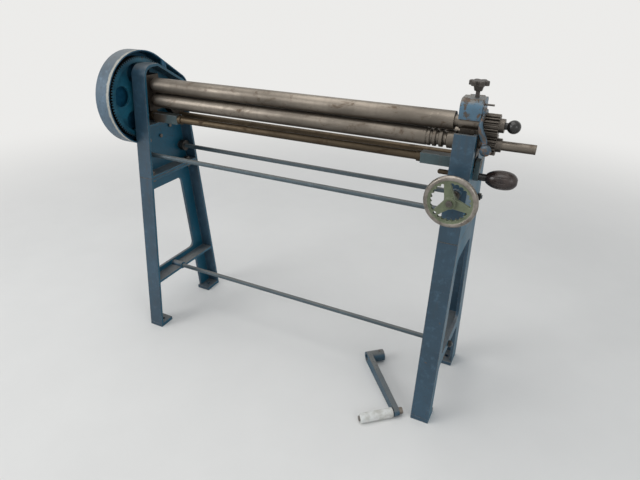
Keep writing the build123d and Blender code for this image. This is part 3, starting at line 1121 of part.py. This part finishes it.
def crank_round(s0, s1, throw, radius, mode=Mode.ADD):
    """A round solid along the crank's axis, at a distance out along its arm."""
    with BuildSketch(CRANK_PLANE.offset(s0)) as profile:
        with Locations((throw, 0)):
            Circle(radius)
    extrude(profile.sketch, amount=s1 - s0, mode=mode)


with BuildPart() as crank_arm:
    with BuildSketch(CRANK_PLANE.offset(-CRANK_SIDE)) as arm_profile:
        Circle(CRANK_HUB_R)
        with Locations((CRANK_THROW, 0)):
            Circle(CRANK_END_R)
        make_hull()
    extrude(arm_profile.sketch, amount=CRANK_ARM_THICKNESS)
    crank_round(-CRANK_SIDE, CRANK_HUB_LENGTH, 0, CRANK_HUB_R)
    crank_round(-CRANK_SIDE - 1, CRANK_HUB_LENGTH + 1, 0, CRANK_BORE_R, Mode.SUBTRACT)
    crank_round(-CRANK_SIDE - 1, CRANK_SIDE + 1, CRANK_THROW, GRIP_SPINDLE_R + RUNNING,
                Mode.SUBTRACT)
    screw_plane = Plane(origin=CRANK_HUB_POINT + CRANK_AXIS * SET_SCREW_PLACE, z_dir=(0, 0, 1))
    with BuildSketch(screw_plane) as screw_hole:
        Circle(SET_SCREW_R + RUNNING)
    extrude(screw_hole.sketch, amount=CRANK_HUB_R + 1, mode=Mode.SUBTRACT)
finish(crank_arm, "crank_arm")

with BuildPart() as crank_set_screw:
    with BuildSketch(screw_plane.offset(CRANK_BORE_R + SEAT)) as screw_profile:
        Circle(SET_SCREW_R)
    extrude(screw_profile.sketch, amount=CRANK_HUB_R + SET_SCREW_PROUD - CRANK_BORE_R - SEAT)
finish(crank_set_screw, "crank_set_screw")

GRIP_START = -CRANK_SIDE - GRIP_GAP
GRIP_END = GRIP_START - GRIP_LENGTH

with BuildPart() as crank_spindle:
    crank_round(GRIP_END - SEAT, CRANK_SIDE + CRANK_NUT, CRANK_THROW, GRIP_SPINDLE_R)
    crank_round(GRIP_END - SEAT - GRIP_WASHER, GRIP_END - SEAT, CRANK_THROW, GRIP_WASHER_R)
    crank_round(GRIP_START + SEAT, -CRANK_SIDE, CRANK_THROW, GRIP_WASHER_R)
finish(crank_spindle, "crank_spindle")

with BuildPart() as crank_nut:
    crank_round(CRANK_SIDE, CRANK_SIDE + CRANK_NUT, CRANK_THROW, CRANK_NUT_R)
    crank_round(CRANK_SIDE - 1, CRANK_SIDE + CRANK_NUT + 1, CRANK_THROW,
                GRIP_SPINDLE_R + RUNNING, Mode.SUBTRACT)
finish(crank_nut, "crank_nut")

with BuildPart() as crank_grip:
    crank_round(GRIP_END, GRIP_START, CRANK_THROW, GRIP_R)
    fillet(crank_grip.edges(), GRIP_WASHER)
    crank_round(GRIP_END - 1, GRIP_START + 1, CRANK_THROW, GRIP_SPINDLE_R + RUNNING,
                Mode.SUBTRACT)
finish(crank_grip, "crank_grip")
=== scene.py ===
import bpy
from mathutils import Matrix, Vector

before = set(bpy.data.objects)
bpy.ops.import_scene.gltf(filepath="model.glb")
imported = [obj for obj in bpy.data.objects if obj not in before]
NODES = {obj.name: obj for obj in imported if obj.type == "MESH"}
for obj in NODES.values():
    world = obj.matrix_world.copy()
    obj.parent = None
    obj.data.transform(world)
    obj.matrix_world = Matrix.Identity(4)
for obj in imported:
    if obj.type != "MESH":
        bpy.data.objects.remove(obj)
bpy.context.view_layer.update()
WHEEL_X, WHEEL_Z = 0.552, 0.762      # axis of the handwheel
ROLL_Y, LOWER_Z = -0.031, 0.890      # axis of the lower front roll
HOOD_LIP_X = -0.604                  # start of the hood's rubbed lip
LEFT_FRAME_X = -0.533                # inner side of the left frame
FRAME_JOINT_Z = 0.620                # joint between a stand and its head
TOOTH_ROOT_R = 0.1315                # main gear, foot of the teeth
WHEEL_BARE_R = 0.0590                # handwheel, inner edge of the bare rim
BACKGROUND = (0.84, 0.835, 0.82, 1)  # pale studio background
FADE_NEAR, FADE_FAR = 1.3, 4.0       # where the floor fades into it
FOCAL_PX, IMAGE_WIDTH_PX = 501.555, 640
SENSOR_MM = 36
CAMERA_PLACE = (0.78417, -1.38199, 1.27879)


# ---------------------------------------------------------------- node helpers
class Shader:
    """A small wrapper that adds and links the nodes of one material."""

    def __init__(self, name):
        self.material = bpy.data.materials.new(name)
        self.material.use_nodes = True
        self.tree = self.material.node_tree
        self.tree.nodes.clear()
        self.out = self.add("ShaderNodeOutputMaterial")
        self.bsdf = self.add("ShaderNodeBsdfPrincipled")
        self.link(self.bsdf.outputs[0], self.out.inputs[0])
        self.coords = self.add("ShaderNodeTexCoord").outputs["Object"]

    def add(self, kind, **settings):
        node = self.tree.nodes.new(kind)
        for key, value in settings.items():
            setattr(node, key, value)
        return node

    def link(self, a, b):
        self.tree.links.new(a, b)

    def set(self, socket, value):
        if hasattr(value, "is_output"):
            self.link(value, socket)
        else:
            socket.default_value = value

    def scaled(self, x, y, z):
        node = self.add("ShaderNodeMapping")
        self.link(self.coords, node.inputs["Vector"])
        node.inputs["Scale"].default_value = (x, y, z)
        return node.outputs[0]

    def noise(self, scale, detail=4.0, rough=0.55, vector=None, distort=0.0):
        node = self.add("ShaderNodeTexNoise")
        self.link(vector or self.coords, node.inputs["Vector"])
        node.inputs["Scale"].default_value = scale
        node.inputs["Detail"].default_value = detail
        node.inputs["Roughness"].default_value = rough
        node.inputs["Distortion"].default_value = distort
        return node.outputs["Fac"]

    def math(self, kind, a, b=0.0, clamp=False):
        node = self.add("ShaderNodeMath", operation=kind, use_clamp=clamp)
        self.set(node.inputs[0], a)
        self.set(node.inputs[1], b)
        return node.outputs[0]

    def roughened(self, value, noise, amount):
        """A value shifted up and down by a noise, so that its border is ragged."""
        shift = self.math("MULTIPLY", self.math("SUBTRACT", noise, 0.5), amount)
        return self.math("ADD", value, shift)

    def ramp(self, value, low, high, out_low=0.0, out_high=1.0):
        """Smooth step between two values; the values may run downwards."""
        node = self.add("ShaderNodeMapRange", interpolation_type="SMOOTHSTEP")
        self.set(node.inputs["Value"], value)
        node.inputs["From Min"].default_value = low
        node.inputs["From Max"].default_value = high
        node.inputs["To Min"].default_value = out_low
        node.inputs["To Max"].default_value = out_high
        return node.outputs[0]

    def mix(self, factor, a, b):
        node = self.add("ShaderNodeMix", data_type="RGBA")
        self.set(node.inputs[0], factor)
        self.set(node.inputs[6], (*a, 1) if isinstance(a, tuple) else a)
        self.set(node.inputs[7], (*b, 1) if isinstance(b, tuple) else b)
        return node.outputs[2]

    def axis(self, which):
        node = self.add("ShaderNodeSeparateXYZ")
        self.link(self.coords, node.inputs[0])
        return node.outputs[which]

    def facing(self, which):
        """Component of the surface normal along one axis."""
        geometry = self.add("ShaderNodeNewGeometry")
        node = self.add("ShaderNodeSeparateXYZ")
        self.link(geometry.outputs["Normal"], node.inputs[0])
        return node.outputs[which]

    def sideways(self):
        """1 on faces that look along X, 0 on the others."""
        return self.ramp(self.math("ABSOLUTE", self.facing(0)), 0.6, 0.9)

    def reach(self, centre, plane):
        """Vector and distance from a centre; plane has 0 for each coordinate left out."""
        shifted = self.add("ShaderNodeVectorMath", operation="SUBTRACT")
        self.link(self.coords, shifted.inputs[0])
        shifted.inputs[1].default_value = centre
        flat = self.add("ShaderNodeVectorMath", operation="MULTIPLY")
        self.link(shifted.outputs[0], flat.inputs[0])
        flat.inputs[1].default_value = plane
        length = self.add("ShaderNodeVectorMath", operation="LENGTH")
        self.link(flat.outputs[0], length.inputs[0])
        return flat.outputs[0], length.outputs["Value"]

    def edges(self, radius):
        """1 on sharp edges, 0 on flat faces, from the angle to a rounded normal."""
        bevel = self.add("ShaderNodeBevel", samples=4)
        bevel.inputs["Radius"].default_value = radius
        geometry = self.add("ShaderNodeNewGeometry")
        dot = self.add("ShaderNodeVectorMath", operation="DOT_PRODUCT")
        self.link(bevel.outputs[0], dot.inputs[0])
        self.link(geometry.outputs["Normal"], dot.inputs[1])
        return self.math("SUBTRACT", 1.0, dot.outputs["Value"], clamp=True)

    def bump(self, height, distance, strength=1.0, rounded=0.0):
        node = self.add("ShaderNodeBump")
        node.inputs["Strength"].default_value = strength
        node.inputs["Distance"].default_value = distance
        self.link(height, node.inputs["Height"])
        if rounded:
            bevel = self.add("ShaderNodeBevel", samples=4)
            bevel.inputs["Radius"].default_value = rounded
            self.link(bevel.outputs[0], node.inputs["Normal"])
        self.link(node.outputs[0], self.bsdf.inputs["Normal"])

    def finish(self, colour, rough, metal=0.0):
        self.set(self.bsdf.inputs["Base Color"], colour)
        self.set(self.bsdf.inputs["Roughness"], rough)
        self.set(self.bsdf.inputs["Metallic"], metal)
        return self.material


def painted(name, colour, chipped=0.5, grime=0.5, rough=0.42, under=(0.075, 0.062, 0.050),
            pale=(0.30, 0.42, 0.50), cast=1.0, side=None, special=None):
    """Old brush-painted cast iron: mottled, chipped to dark metal, rubbed pale on the edges."""
    s = Shader(name)
    deep = tuple(0.62 * c for c in colour)
    light = tuple(min(1.0, 1.35 * c + 0.012) for c in colour)
    large = s.noise(5.0, 5.0, 0.6)
    fine = s.noise(48.0, 6.0, 0.65)
    tone = s.mix(s.ramp(large, 0.32, 0.70), deep, colour)
    tone = s.mix(s.ramp(fine, 0.50, 0.78, 0.0, 0.75), tone, light)
    # faces that look along X get a richer, more saturated copy of the paint: painted light and
    # shade by face direction
    if side:
        facing_light_tone = s.mix(s.ramp(large, 0.32, 0.70), tuple(0.7 * c for c in side), side)
        tone = s.mix(s.sideways(), tone, facing_light_tone)
    if special:
        tone = special(s, tone, fine)
    # runs of dirt down the upright faces, dust on what faces up
    runs = s.noise(1.0, 5.0, 0.6, s.scaled(55, 55, 4.5))
    tone = s.mix(s.ramp(runs, 0.55, 0.80, 0.0, 0.55 * grime), tone, (0.055, 0.050, 0.045))
    dust = s.math("MULTIPLY", s.ramp(s.facing(2), 0.5, 0.95),
                  s.ramp(large, 0.35, 0.65, 0.35, 0.8))
    tone = s.mix(dust, tone, (0.17, 0.165, 0.15))
    # wear: pale on the very edges, then bare metal in ragged chips
    edge = s.edges(0.0024)
    ragged = s.noise(95.0, 5.0, 0.7)
    rubbed = s.ramp(s.roughened(edge, ragged, 0.30), 0.05, 0.20, 0.0, 0.70)
    tone = s.mix(rubbed, tone, pale)
    # fine dark speckles where the paint has come off in pinheads
    pits = s.ramp(s.noise(190.0, 3.0, 0.6), 0.60, 0.66, 0.0, 0.85)
    tone = s.mix(s.math("MULTIPLY", pits, s.ramp(large, 0.40, 0.62)), tone, (0.03, 0.028, 0.026))
    chip_noise = s.noise(38.0, 8.0, 0.72, distort=0.4)
    chip_field = s.math("ADD", chip_noise, s.math("MULTIPLY", edge, 0.75))
    limit = 0.80 - 0.17 * chipped
    chips = s.ramp(chip_field, limit, limit + 0.025)
    rust = s.mix(s.ramp(fine, 0.40, 0.65), under, (0.14, 0.070, 0.035))
    tone = s.mix(chips, tone, rust)
    shine = s.ramp(large, 0.3, 0.7, rough - 0.08, rough + 0.12)
    shine = s.math("ADD", shine, s.math("MULTIPLY", chips, 0.22))
    height = s.math("SUBTRACT", s.math("ADD", s.math("MULTIPLY", s.noise(150.0, 3.0), 0.5 * cast),
                                       s.math("MULTIPLY", s.noise(22.0, 3.0), 1.1 * cast)),
                    s.math("MULTIPLY", chips, 0.55))
    s.bump(height, 0.0006, 0.55, rounded=0.0022)
    return s.finish(tone, shine)


def worn_steel(name, colour, stain, turned=0.0, rough=0.36, rust=0.35, metal=0.92, dark=0.5):
    """Bare steel, dulled by oil and handling, with stains and a little rust."""
    s = Shader(name)
    blotch = s.noise(9.0, 6.0, 0.62, s.scaled(0.35, 1, 1))
    fine = s.noise(70.0, 5.0, 0.65)
    deep = tuple(c * (1.0 - dark) for c in colour)
    tone = s.mix(s.ramp(blotch, 0.30, 0.72), deep, colour)
    spots = s.noise(26.0, 8.0, 0.75, s.scaled(0.6, 1, 1), distort=0.6)
    stained = s.ramp(spots, 0.62 - 0.14 * rust, 0.76 - 0.10 * rust, 0.0, 0.85)
    tone = s.mix(stained, tone, stain)
    tone = s.mix(s.ramp(fine, 0.60, 0.80, 0.0, 0.5), tone, tuple(min(1, 1.3 * c) for c in colour))
    # darker on faces that look down: painted shade on the undersides
    under = s.roughened(s.facing(2), blotch, 0.5)
    tone = s.mix(s.ramp(under, -0.05, -0.75, 0.0, 0.6), tone, tuple(0.35 * c for c in stain))
    edge = s.ramp(s.edges(0.0015), 0.05, 0.25, 0.0, 0.6)
    tone = s.mix(edge, tone, tuple(min(1, 1.5 * c) for c in colour))
    shine = s.math("ADD", s.ramp(blotch, 0.3, 0.7, rough + 0.10, rough - 0.05),
                   s.math("MULTIPLY", stained, 0.28))
    height = s.math("MULTIPLY", fine, 0.5)
    if turned:
        # fine turning marks: rings round the axis along X
        rings = s.noise(1.0, 2.0, 0.5, s.scaled(1400, 3, 3))
        bands = s.noise(1.0, 3.0, 0.5, s.scaled(55, 2, 2))
        height = s.math("ADD", height, s.math("MULTIPLY", rings, turned))
        tone = s.mix(s.ramp(bands, 0.45, 0.75, 0.0, 0.35), tone, deep)
    s.bump(height, 0.00018, 0.5, rounded=0.0012)
    return s.finish(tone, shine, metal)


def moulded(name, colour, scuff, rough=0.22):
    """Hard old plastic: glossy, with dull scuffs and fine scratches."""
    s = Shader(name)
    large = s.noise(35.0, 5.0, 0.6)
    scratch = s.noise(1.0, 4.0, 0.7, s.scaled(60, 700, 700))
    tone = s.mix(s.ramp(large, 0.35, 0.72), colour, scuff)
    edge = s.ramp(s.edges(0.0015), 0.04, 0.22, 0.0, 0.5)
    tone = s.mix(edge, tone, tuple(min(1, 2.2 * c + 0.02) for c in colour))
    shine = s.math("ADD", s.ramp(large, 0.3, 0.75, rough, rough + 0.25),
                   s.ramp(scratch, 0.6, 0.8, 0.0, 0.15))
    s.bump(s.math("ADD", large, s.math("MULTIPLY", scratch, 0.3)), 0.0003, 0.4, rounded=0.0015)
    return s.finish(tone, shine)


# ---------------------------------------------------------------- materials
def hood_parts(s, tone, fine):
    """Inside of the hood: a richer blue, painted light on its inner faces; its lip: paint rubbed
    to a cream undercoat.
    """
    outward, _ = s.reach((0, ROLL_Y, LOWER_Z), (0, 1, 1))
    dot = s.add("ShaderNodeVectorMath", operation="DOT_PRODUCT")
    s.link(outward, dot.inputs[0])
    s.link(s.add("ShaderNodeNewGeometry").outputs["Normal"], dot.inputs[1])
    turned_in = s.ramp(dot.outputs["Value"], -0.01, -0.03)
    inside = s.math("MAXIMUM", turned_in, s.ramp(s.facing(0), 0.5, 0.9))
    # inner faces get a brighter, more saturated blue: painted light on the shaded inside of the
    # hood
    facing_light_tone = s.mix(s.ramp(fine, 0.35, 0.65), (0.002, 0.075, 0.150), (0.012, 0.115, 0.210))
    tone = s.mix(inside, tone, facing_light_tone)
    ragged = s.roughened(s.axis(0), fine, 0.016)
    lip = s.math("MULTIPLY", s.ramp(ragged, HOOD_LIP_X, HOOD_LIP_X + 0.003),
                 s.ramp(inside, 1.0, 0.0))
    return s.mix(s.math("MULTIPLY", lip, 0.85), tone, (0.47, 0.46, 0.40))


def frame_joint(s, tone, fine):
    """A dark line of dirt where the heads stand on their stands."""
    off = s.math("ABSOLUTE", s.math("SUBTRACT", s.axis(2), FRAME_JOINT_Z))
    wavy = s.roughened(off, fine, 0.003)
    return s.mix(s.ramp(wavy, 0.0022, 0.0010), tone, (0.020, 0.020, 0.020))


def support_parts(s, tone, fine):
    """The left support turns dark brown beside the left frame."""
    ragged = s.roughened(s.axis(0), fine, 0.05)
    dark_by_frame = s.ramp(ragged, LEFT_FRAME_X + 0.050, LEFT_FRAME_X + 0.030)
    return s.mix(dark_by_frame, tone, (0.045, 0.036, 0.028))


def cap_parts(s, tone, fine):
    """Top of the bearing cap, rubbed down to a grey-brown undercoat."""
    top = s.math("MULTIPLY", s.ramp(s.facing(2), 0.35, 0.85), s.ramp(fine, 0.36, 0.52))
    return s.mix(s.math("MULTIPLY", top, 0.85), tone, (0.20, 0.175, 0.145))


# the side colour of the frame is painted light and shade on the faces that look along X, not a
# second paint
frame_paint = painted("frame_paint", (0.034, 0.082, 0.128), chipped=0.85, grime=0.95,
                      side=(0.004, 0.100, 0.172), special=frame_joint)
cap_paint = painted("cap_paint", (0.095, 0.190, 0.275), chipped=1.45, grime=0.6,
                    pale=(0.34, 0.44, 0.52), special=cap_parts)
hood_paint = painted("hood_paint", (0.105, 0.165, 0.225), chipped=0.75, grime=1.0, rough=0.5,
                     special=hood_parts)
support_paint = painted("support_paint", (0.055, 0.095, 0.105), chipped=0.6, grime=0.9,
                        special=support_parts)
rod_paint = painted("rod_paint", (0.070, 0.105, 0.125), chipped=0.80, grime=0.6, cast=0.6,
                    pale=(0.18, 0.23, 0.26))
lever_paint = painted("lever_paint", (0.050, 0.105, 0.155), chipped=1.6, grime=0.8,
                      pale=(0.36, 0.40, 0.43))
crank_paint = painted("crank_paint", (0.030, 0.085, 0.130), chipped=0.55, grime=0.6,
                      pale=(0.25, 0.30, 0.33))
roll_steel = worn_steel("roll_steel", (0.26, 0.228, 0.192), (0.085, 0.056, 0.036), turned=0.8,
                        rough=0.40, rust=0.62, dark=0.50)
stub_steel = worn_steel("stub_steel", (0.28, 0.245, 0.21), (0.11, 0.070, 0.045), turned=0.6,
                        rough=0.38, rust=0.5)
gear_steel = worn_steel("gear_steel", (0.17, 0.15, 0.13), (0.040, 0.030, 0.023), rough=0.40,
                        rust=0.75)
dark_steel = worn_steel("dark_steel", (0.065, 0.060, 0.055), (0.025, 0.020, 0.017), rough=0.45,
                        rust=0.6, metal=0.7)
clamp_steel = worn_steel("clamp_steel", (0.105, 0.076, 0.045), (0.050, 0.030, 0.016), turned=0.5,
                         rough=0.48, rust=0.8, metal=0.7)
block_iron = worn_steel("block_iron", (0.090, 0.078, 0.066), (0.030, 0.022, 0.016), rough=0.45,
                        rust=0.7)
fastener_steel = worn_steel("fastener_steel", (0.18, 0.165, 0.15), (0.060, 0.040, 0.028),
                            rough=0.42, rust=0.7)
black_plastic = moulded("black_plastic", (0.008, 0.008, 0.008), (0.024, 0.023, 0.022), rough=0.16)
egg_plastic = moulded("egg_plastic", (0.018, 0.011, 0.010), (0.050, 0.035, 0.030), rough=0.18)
star_iron = worn_steel("star_iron", (0.12, 0.105, 0.095), (0.04, 0.030, 0.024), rough=0.42,
                       rust=0.6, metal=0.6)
white_plastic = moulded("white_plastic", (0.74, 0.75, 0.73), (0.50, 0.49, 0.45), rough=0.38)


def wheel_material():
    """Handwheel: polished steel rim, worn green paint on the spokes and the inside of the rim."""
    s = Shader("wheel_iron")
    _, reach = s.reach((WHEEL_X, 0, WHEEL_Z), (1, 0, 1))
    fine = s.noise(80.0, 6.0, 0.65)
    large = s.noise(24.0, 5.0, 0.6)
    rim = s.ramp(s.roughened(reach, fine, 0.004), WHEEL_BARE_R, WHEEL_BARE_R + 0.0015)
    green = s.mix(s.ramp(large, 0.32, 0.68), (0.085, 0.105, 0.058), (0.165, 0.190, 0.115))
    edge = s.edges(0.0025)
    worn = s.ramp(s.math("ADD", s.math("MULTIPLY", edge, 0.9), s.math("MULTIPLY", fine, 0.35)),
                  0.22, 0.42, 0.0, 0.9)
    green = s.mix(worn, green, (0.30, 0.31, 0.25))
    green = s.mix(s.ramp(s.noise(40.0, 8.0, 0.75), 0.60, 0.66), green, (0.060, 0.050, 0.035))
    steel = s.mix(s.ramp(large, 0.35, 0.68), (0.16, 0.145, 0.125), (0.33, 0.30, 0.27))
    steel = s.mix(s.ramp(fine, 0.56, 0.70, 0.0, 0.7), steel, (0.12, 0.085, 0.06))
    tone = s.mix(rim, green, steel)
    shine = s.math("SUBTRACT", s.ramp(large, 0.3, 0.7, 0.44, 0.56), s.math("MULTIPLY", rim, 0.20))
    s.bump(s.math("ADD", fine, large), 0.0004, 0.5, rounded=0.002)
    return s.finish(tone, shine, s.math("MULTIPLY", rim, 0.9))


def gear_material():
    """Main gear: painted sides up to the tooth tips, dark greasy tooth flanks."""
    s = Shader("main_gear_paint")
    _, reach = s.reach((0, ROLL_Y, LOWER_Z), (0, 1, 1))
    fine = s.noise(60.0, 6.0, 0.65)
    large = s.noise(14.0, 5.0, 0.6)
    teeth = s.math("MULTIPLY", s.ramp(reach, TOOTH_ROOT_R, TOOTH_ROOT_R + 0.001),
                   s.ramp(s.sideways(), 1.0, 0.0))
    paint = s.mix(s.ramp(large, 0.32, 0.70), (0.003, 0.050, 0.085), (0.014, 0.118, 0.182))
    paint = s.mix(s.ramp(s.edges(0.002), 0.05, 0.25, 0.0, 0.6), paint, (0.12, 0.20, 0.24))
    paint = s.mix(s.ramp(s.noise(32.0, 8.0, 0.72), 0.61, 0.65), paint, (0.035, 0.030, 0.026))
    grease = s.mix(s.ramp(fine, 0.4, 0.65), (0.012, 0.010, 0.009), (0.050, 0.045, 0.038))
    s.bump(s.math("ADD", fine, large), 0.0006, 0.5, rounded=0.0008)
    return s.finish(s.mix(teeth, paint, grease), s.ramp(fine, 0.3, 0.7, 0.32, 0.52),
                    s.math("MULTIPLY", teeth, 0.5))


LOOKS = {
    "left_stand": frame_paint, "right_stand": frame_paint,
    "left_head": frame_paint, "right_head": frame_paint,
    "bearing_cap": cap_paint, "gear_hood": hood_paint, "hood_screws": fastener_steel,
    "lower_roll": roll_steel, "upper_roll": roll_steel, "rear_roll": roll_steel,
    "lower_pinion": gear_steel, "upper_pinion": gear_steel, "drive_pinion": gear_steel,
    "main_gear": gear_material(), "drive_shaft": stub_steel, "drive_collar": gear_steel,
    "left_lower_block": block_iron, "left_upper_block": block_iron, "right_block": block_iron,
    "clamp_shaft": clamp_steel, "left_cam": clamp_steel, "right_cam": clamp_steel,
    "left_support": support_paint, "right_support": support_paint,
    "egg_arm": support_paint, "egg_spindle": black_plastic, "egg_grip": egg_plastic,
    "ball_knob": black_plastic, "lock_ball": lever_paint, "lock_lever": lever_paint,
    "lock_pin": fastener_steel, "tommy_pin": fastener_steel, "cap_hinge_pin": fastener_steel,
    "star_knob": star_iron, "pivot_shaft": clamp_steel, "left_arm": block_iron,
    "right_arm": block_iron, "lift_screw": fastener_steel, "screw_collar": fastener_steel,
    "screw_nut": block_iron, "handwheel": wheel_material(), "wheel_nut": fastener_steel,
    "front_tie_rod": rod_paint, "rear_tie_rod": rod_paint, "low_tie_rod": rod_paint,
    "rod_collar": dark_steel, "tie_rod_nuts": dark_steel,
    "clamp_collars": clamp_steel, "frame_bolts": fastener_steel,
    "frame_bolt_nuts": fastener_steel, "stop_pin": clamp_steel, "crank_arm": crank_paint,
    "crank_set_screw": fastener_steel, "crank_spindle": fastener_steel,
    "crank_nut": stub_steel, "crank_grip": white_plastic,
}
for name, material in LOOKS.items():
    for slot in NODES[name].material_slots:
        slot.link = "OBJECT"
        slot.material = material


# ---------------------------------------------------------------- floor, light, camera
def plain(name, colour, rough):
    """Pale studio surface with a very faint mottling, fading into the background far away."""
    s = Shader(name)
    spots = s.noise(2.5, 5.0, 0.6)
    tone = s.mix(s.ramp(spots, 0.3, 0.7), tuple(0.97 * c for c in colour), colour)
    far = s.add("ShaderNodeEmission")
    far.inputs["Color"].default_value = BACKGROUND
    rays = s.add("ShaderNodeLightPath")
    shown = s.math("MAXIMUM", rays.outputs["Is Camera Ray"], rays.outputs["Is Glossy Ray"])
    shown = s.math("MAXIMUM", shown, rays.outputs["Is Transmission Ray"])
    _, distance = s.reach((0, 0, 0), (1, 1, 0))
    fade = s.add("ShaderNodeMixShader")
    s.link(s.math("MULTIPLY", shown, s.ramp(distance, FADE_NEAR, FADE_FAR)), fade.inputs[0])
    s.link(s.bsdf.outputs[0], fade.inputs[1])
    s.link(far.outputs[0], fade.inputs[2])
    s.link(fade.outputs[0], s.out.inputs[0])
    return s.finish(tone, rough)


bpy.ops.mesh.primitive_plane_add(size=80, location=(0, 0, 0))
floor = bpy.context.object
floor.name = "floor"
floor.data.materials.append(plain("pale_floor", (0.78, 0.775, 0.76), 0.85))

world = bpy.data.worlds.new("studio")
bpy.context.scene.world = world
world.use_nodes = True
tree = world.node_tree
tree.nodes.clear()
world_out = tree.nodes.new("ShaderNodeOutputWorld")
lit = tree.nodes.new("ShaderNodeBackground")
lit.inputs["Color"].default_value = (0.92, 0.96, 1.0, 1)
lit.inputs["Strength"].default_value = 0.46
seen = tree.nodes.new("ShaderNodeBackground")
seen.inputs["Color"].default_value = BACKGROUND
seen.inputs["Strength"].default_value = 1.0
path = tree.nodes.new("ShaderNodeLightPath")
camera_or_glossy = tree.nodes.new("ShaderNodeMath")
camera_or_glossy.operation = "MAXIMUM"
tree.links.new(path.outputs["Is Camera Ray"], camera_or_glossy.inputs[0])
tree.links.new(path.outputs["Is Glossy Ray"], camera_or_glossy.inputs[1])
any_ray = tree.nodes.new("ShaderNodeMath")
any_ray.operation = "MAXIMUM"
tree.links.new(camera_or_glossy.outputs[0], any_ray.inputs[0])
tree.links.new(path.outputs["Is Transmission Ray"], any_ray.inputs[1])
blend = tree.nodes.new("ShaderNodeMixShader")
tree.links.new(any_ray.outputs[0], blend.inputs[0])
tree.links.new(lit.outputs[0], blend.inputs[1])
tree.links.new(seen.outputs[0], blend.inputs[2])
tree.links.new(blend.outputs[0], world_out.inputs[0])


def softbox(name, place, target, size, power, colour=(1, 1, 1)):
    """A rectangular soft light that looks at a target."""
    light = bpy.data.lights.new(name, "AREA")
    light.shape = "RECTANGLE"
    light.size, light.size_y = size
    light.energy = power
    light.color = colour
    lamp = bpy.data.objects.new(name, light)
    bpy.context.scene.collection.objects.link(lamp)
    lamp.location = place
    lamp.rotation_euler = (Vector(target) - Vector(place)).to_track_quat("-Z", "Y").to_euler()


softbox("overhead", (-0.4, -0.3, 3.4), (0, 0, 0), (3.2, 2.4), 46, (1.0, 0.985, 0.96))
softbox("front_left", (-2.6, -2.8, 2.3), (0, 0, 0.6), (1.8, 1.8), 44)
softbox("front_right", (2.8, -2.0, 1.9), (0.3, 0, 0.7), (1.2, 1.6), 14, (0.95, 0.98, 1.0))

camera_data = bpy.data.cameras.new("camera")
camera_data.sensor_width = SENSOR_MM
camera_data.lens = FOCAL_PX / IMAGE_WIDTH_PX * SENSOR_MM
camera = bpy.data.objects.new("camera", camera_data)
bpy.context.scene.collection.objects.link(camera)
right = Vector((0.893988, 0.448066, 0.004748))
down = Vector((0.212300, -0.414205, -0.885078))
forward = Vector((-0.394606, 0.792257, -0.465418))
rows = [(right[i], -down[i], -forward[i]) for i in range(3)]
camera.matrix_world = Matrix.Translation(CAMERA_PLACE) @ Matrix(rows).to_4x4()
bpy.context.scene.camera = camera
bpy.context.scene.view_settings.view_transform = "Standard"
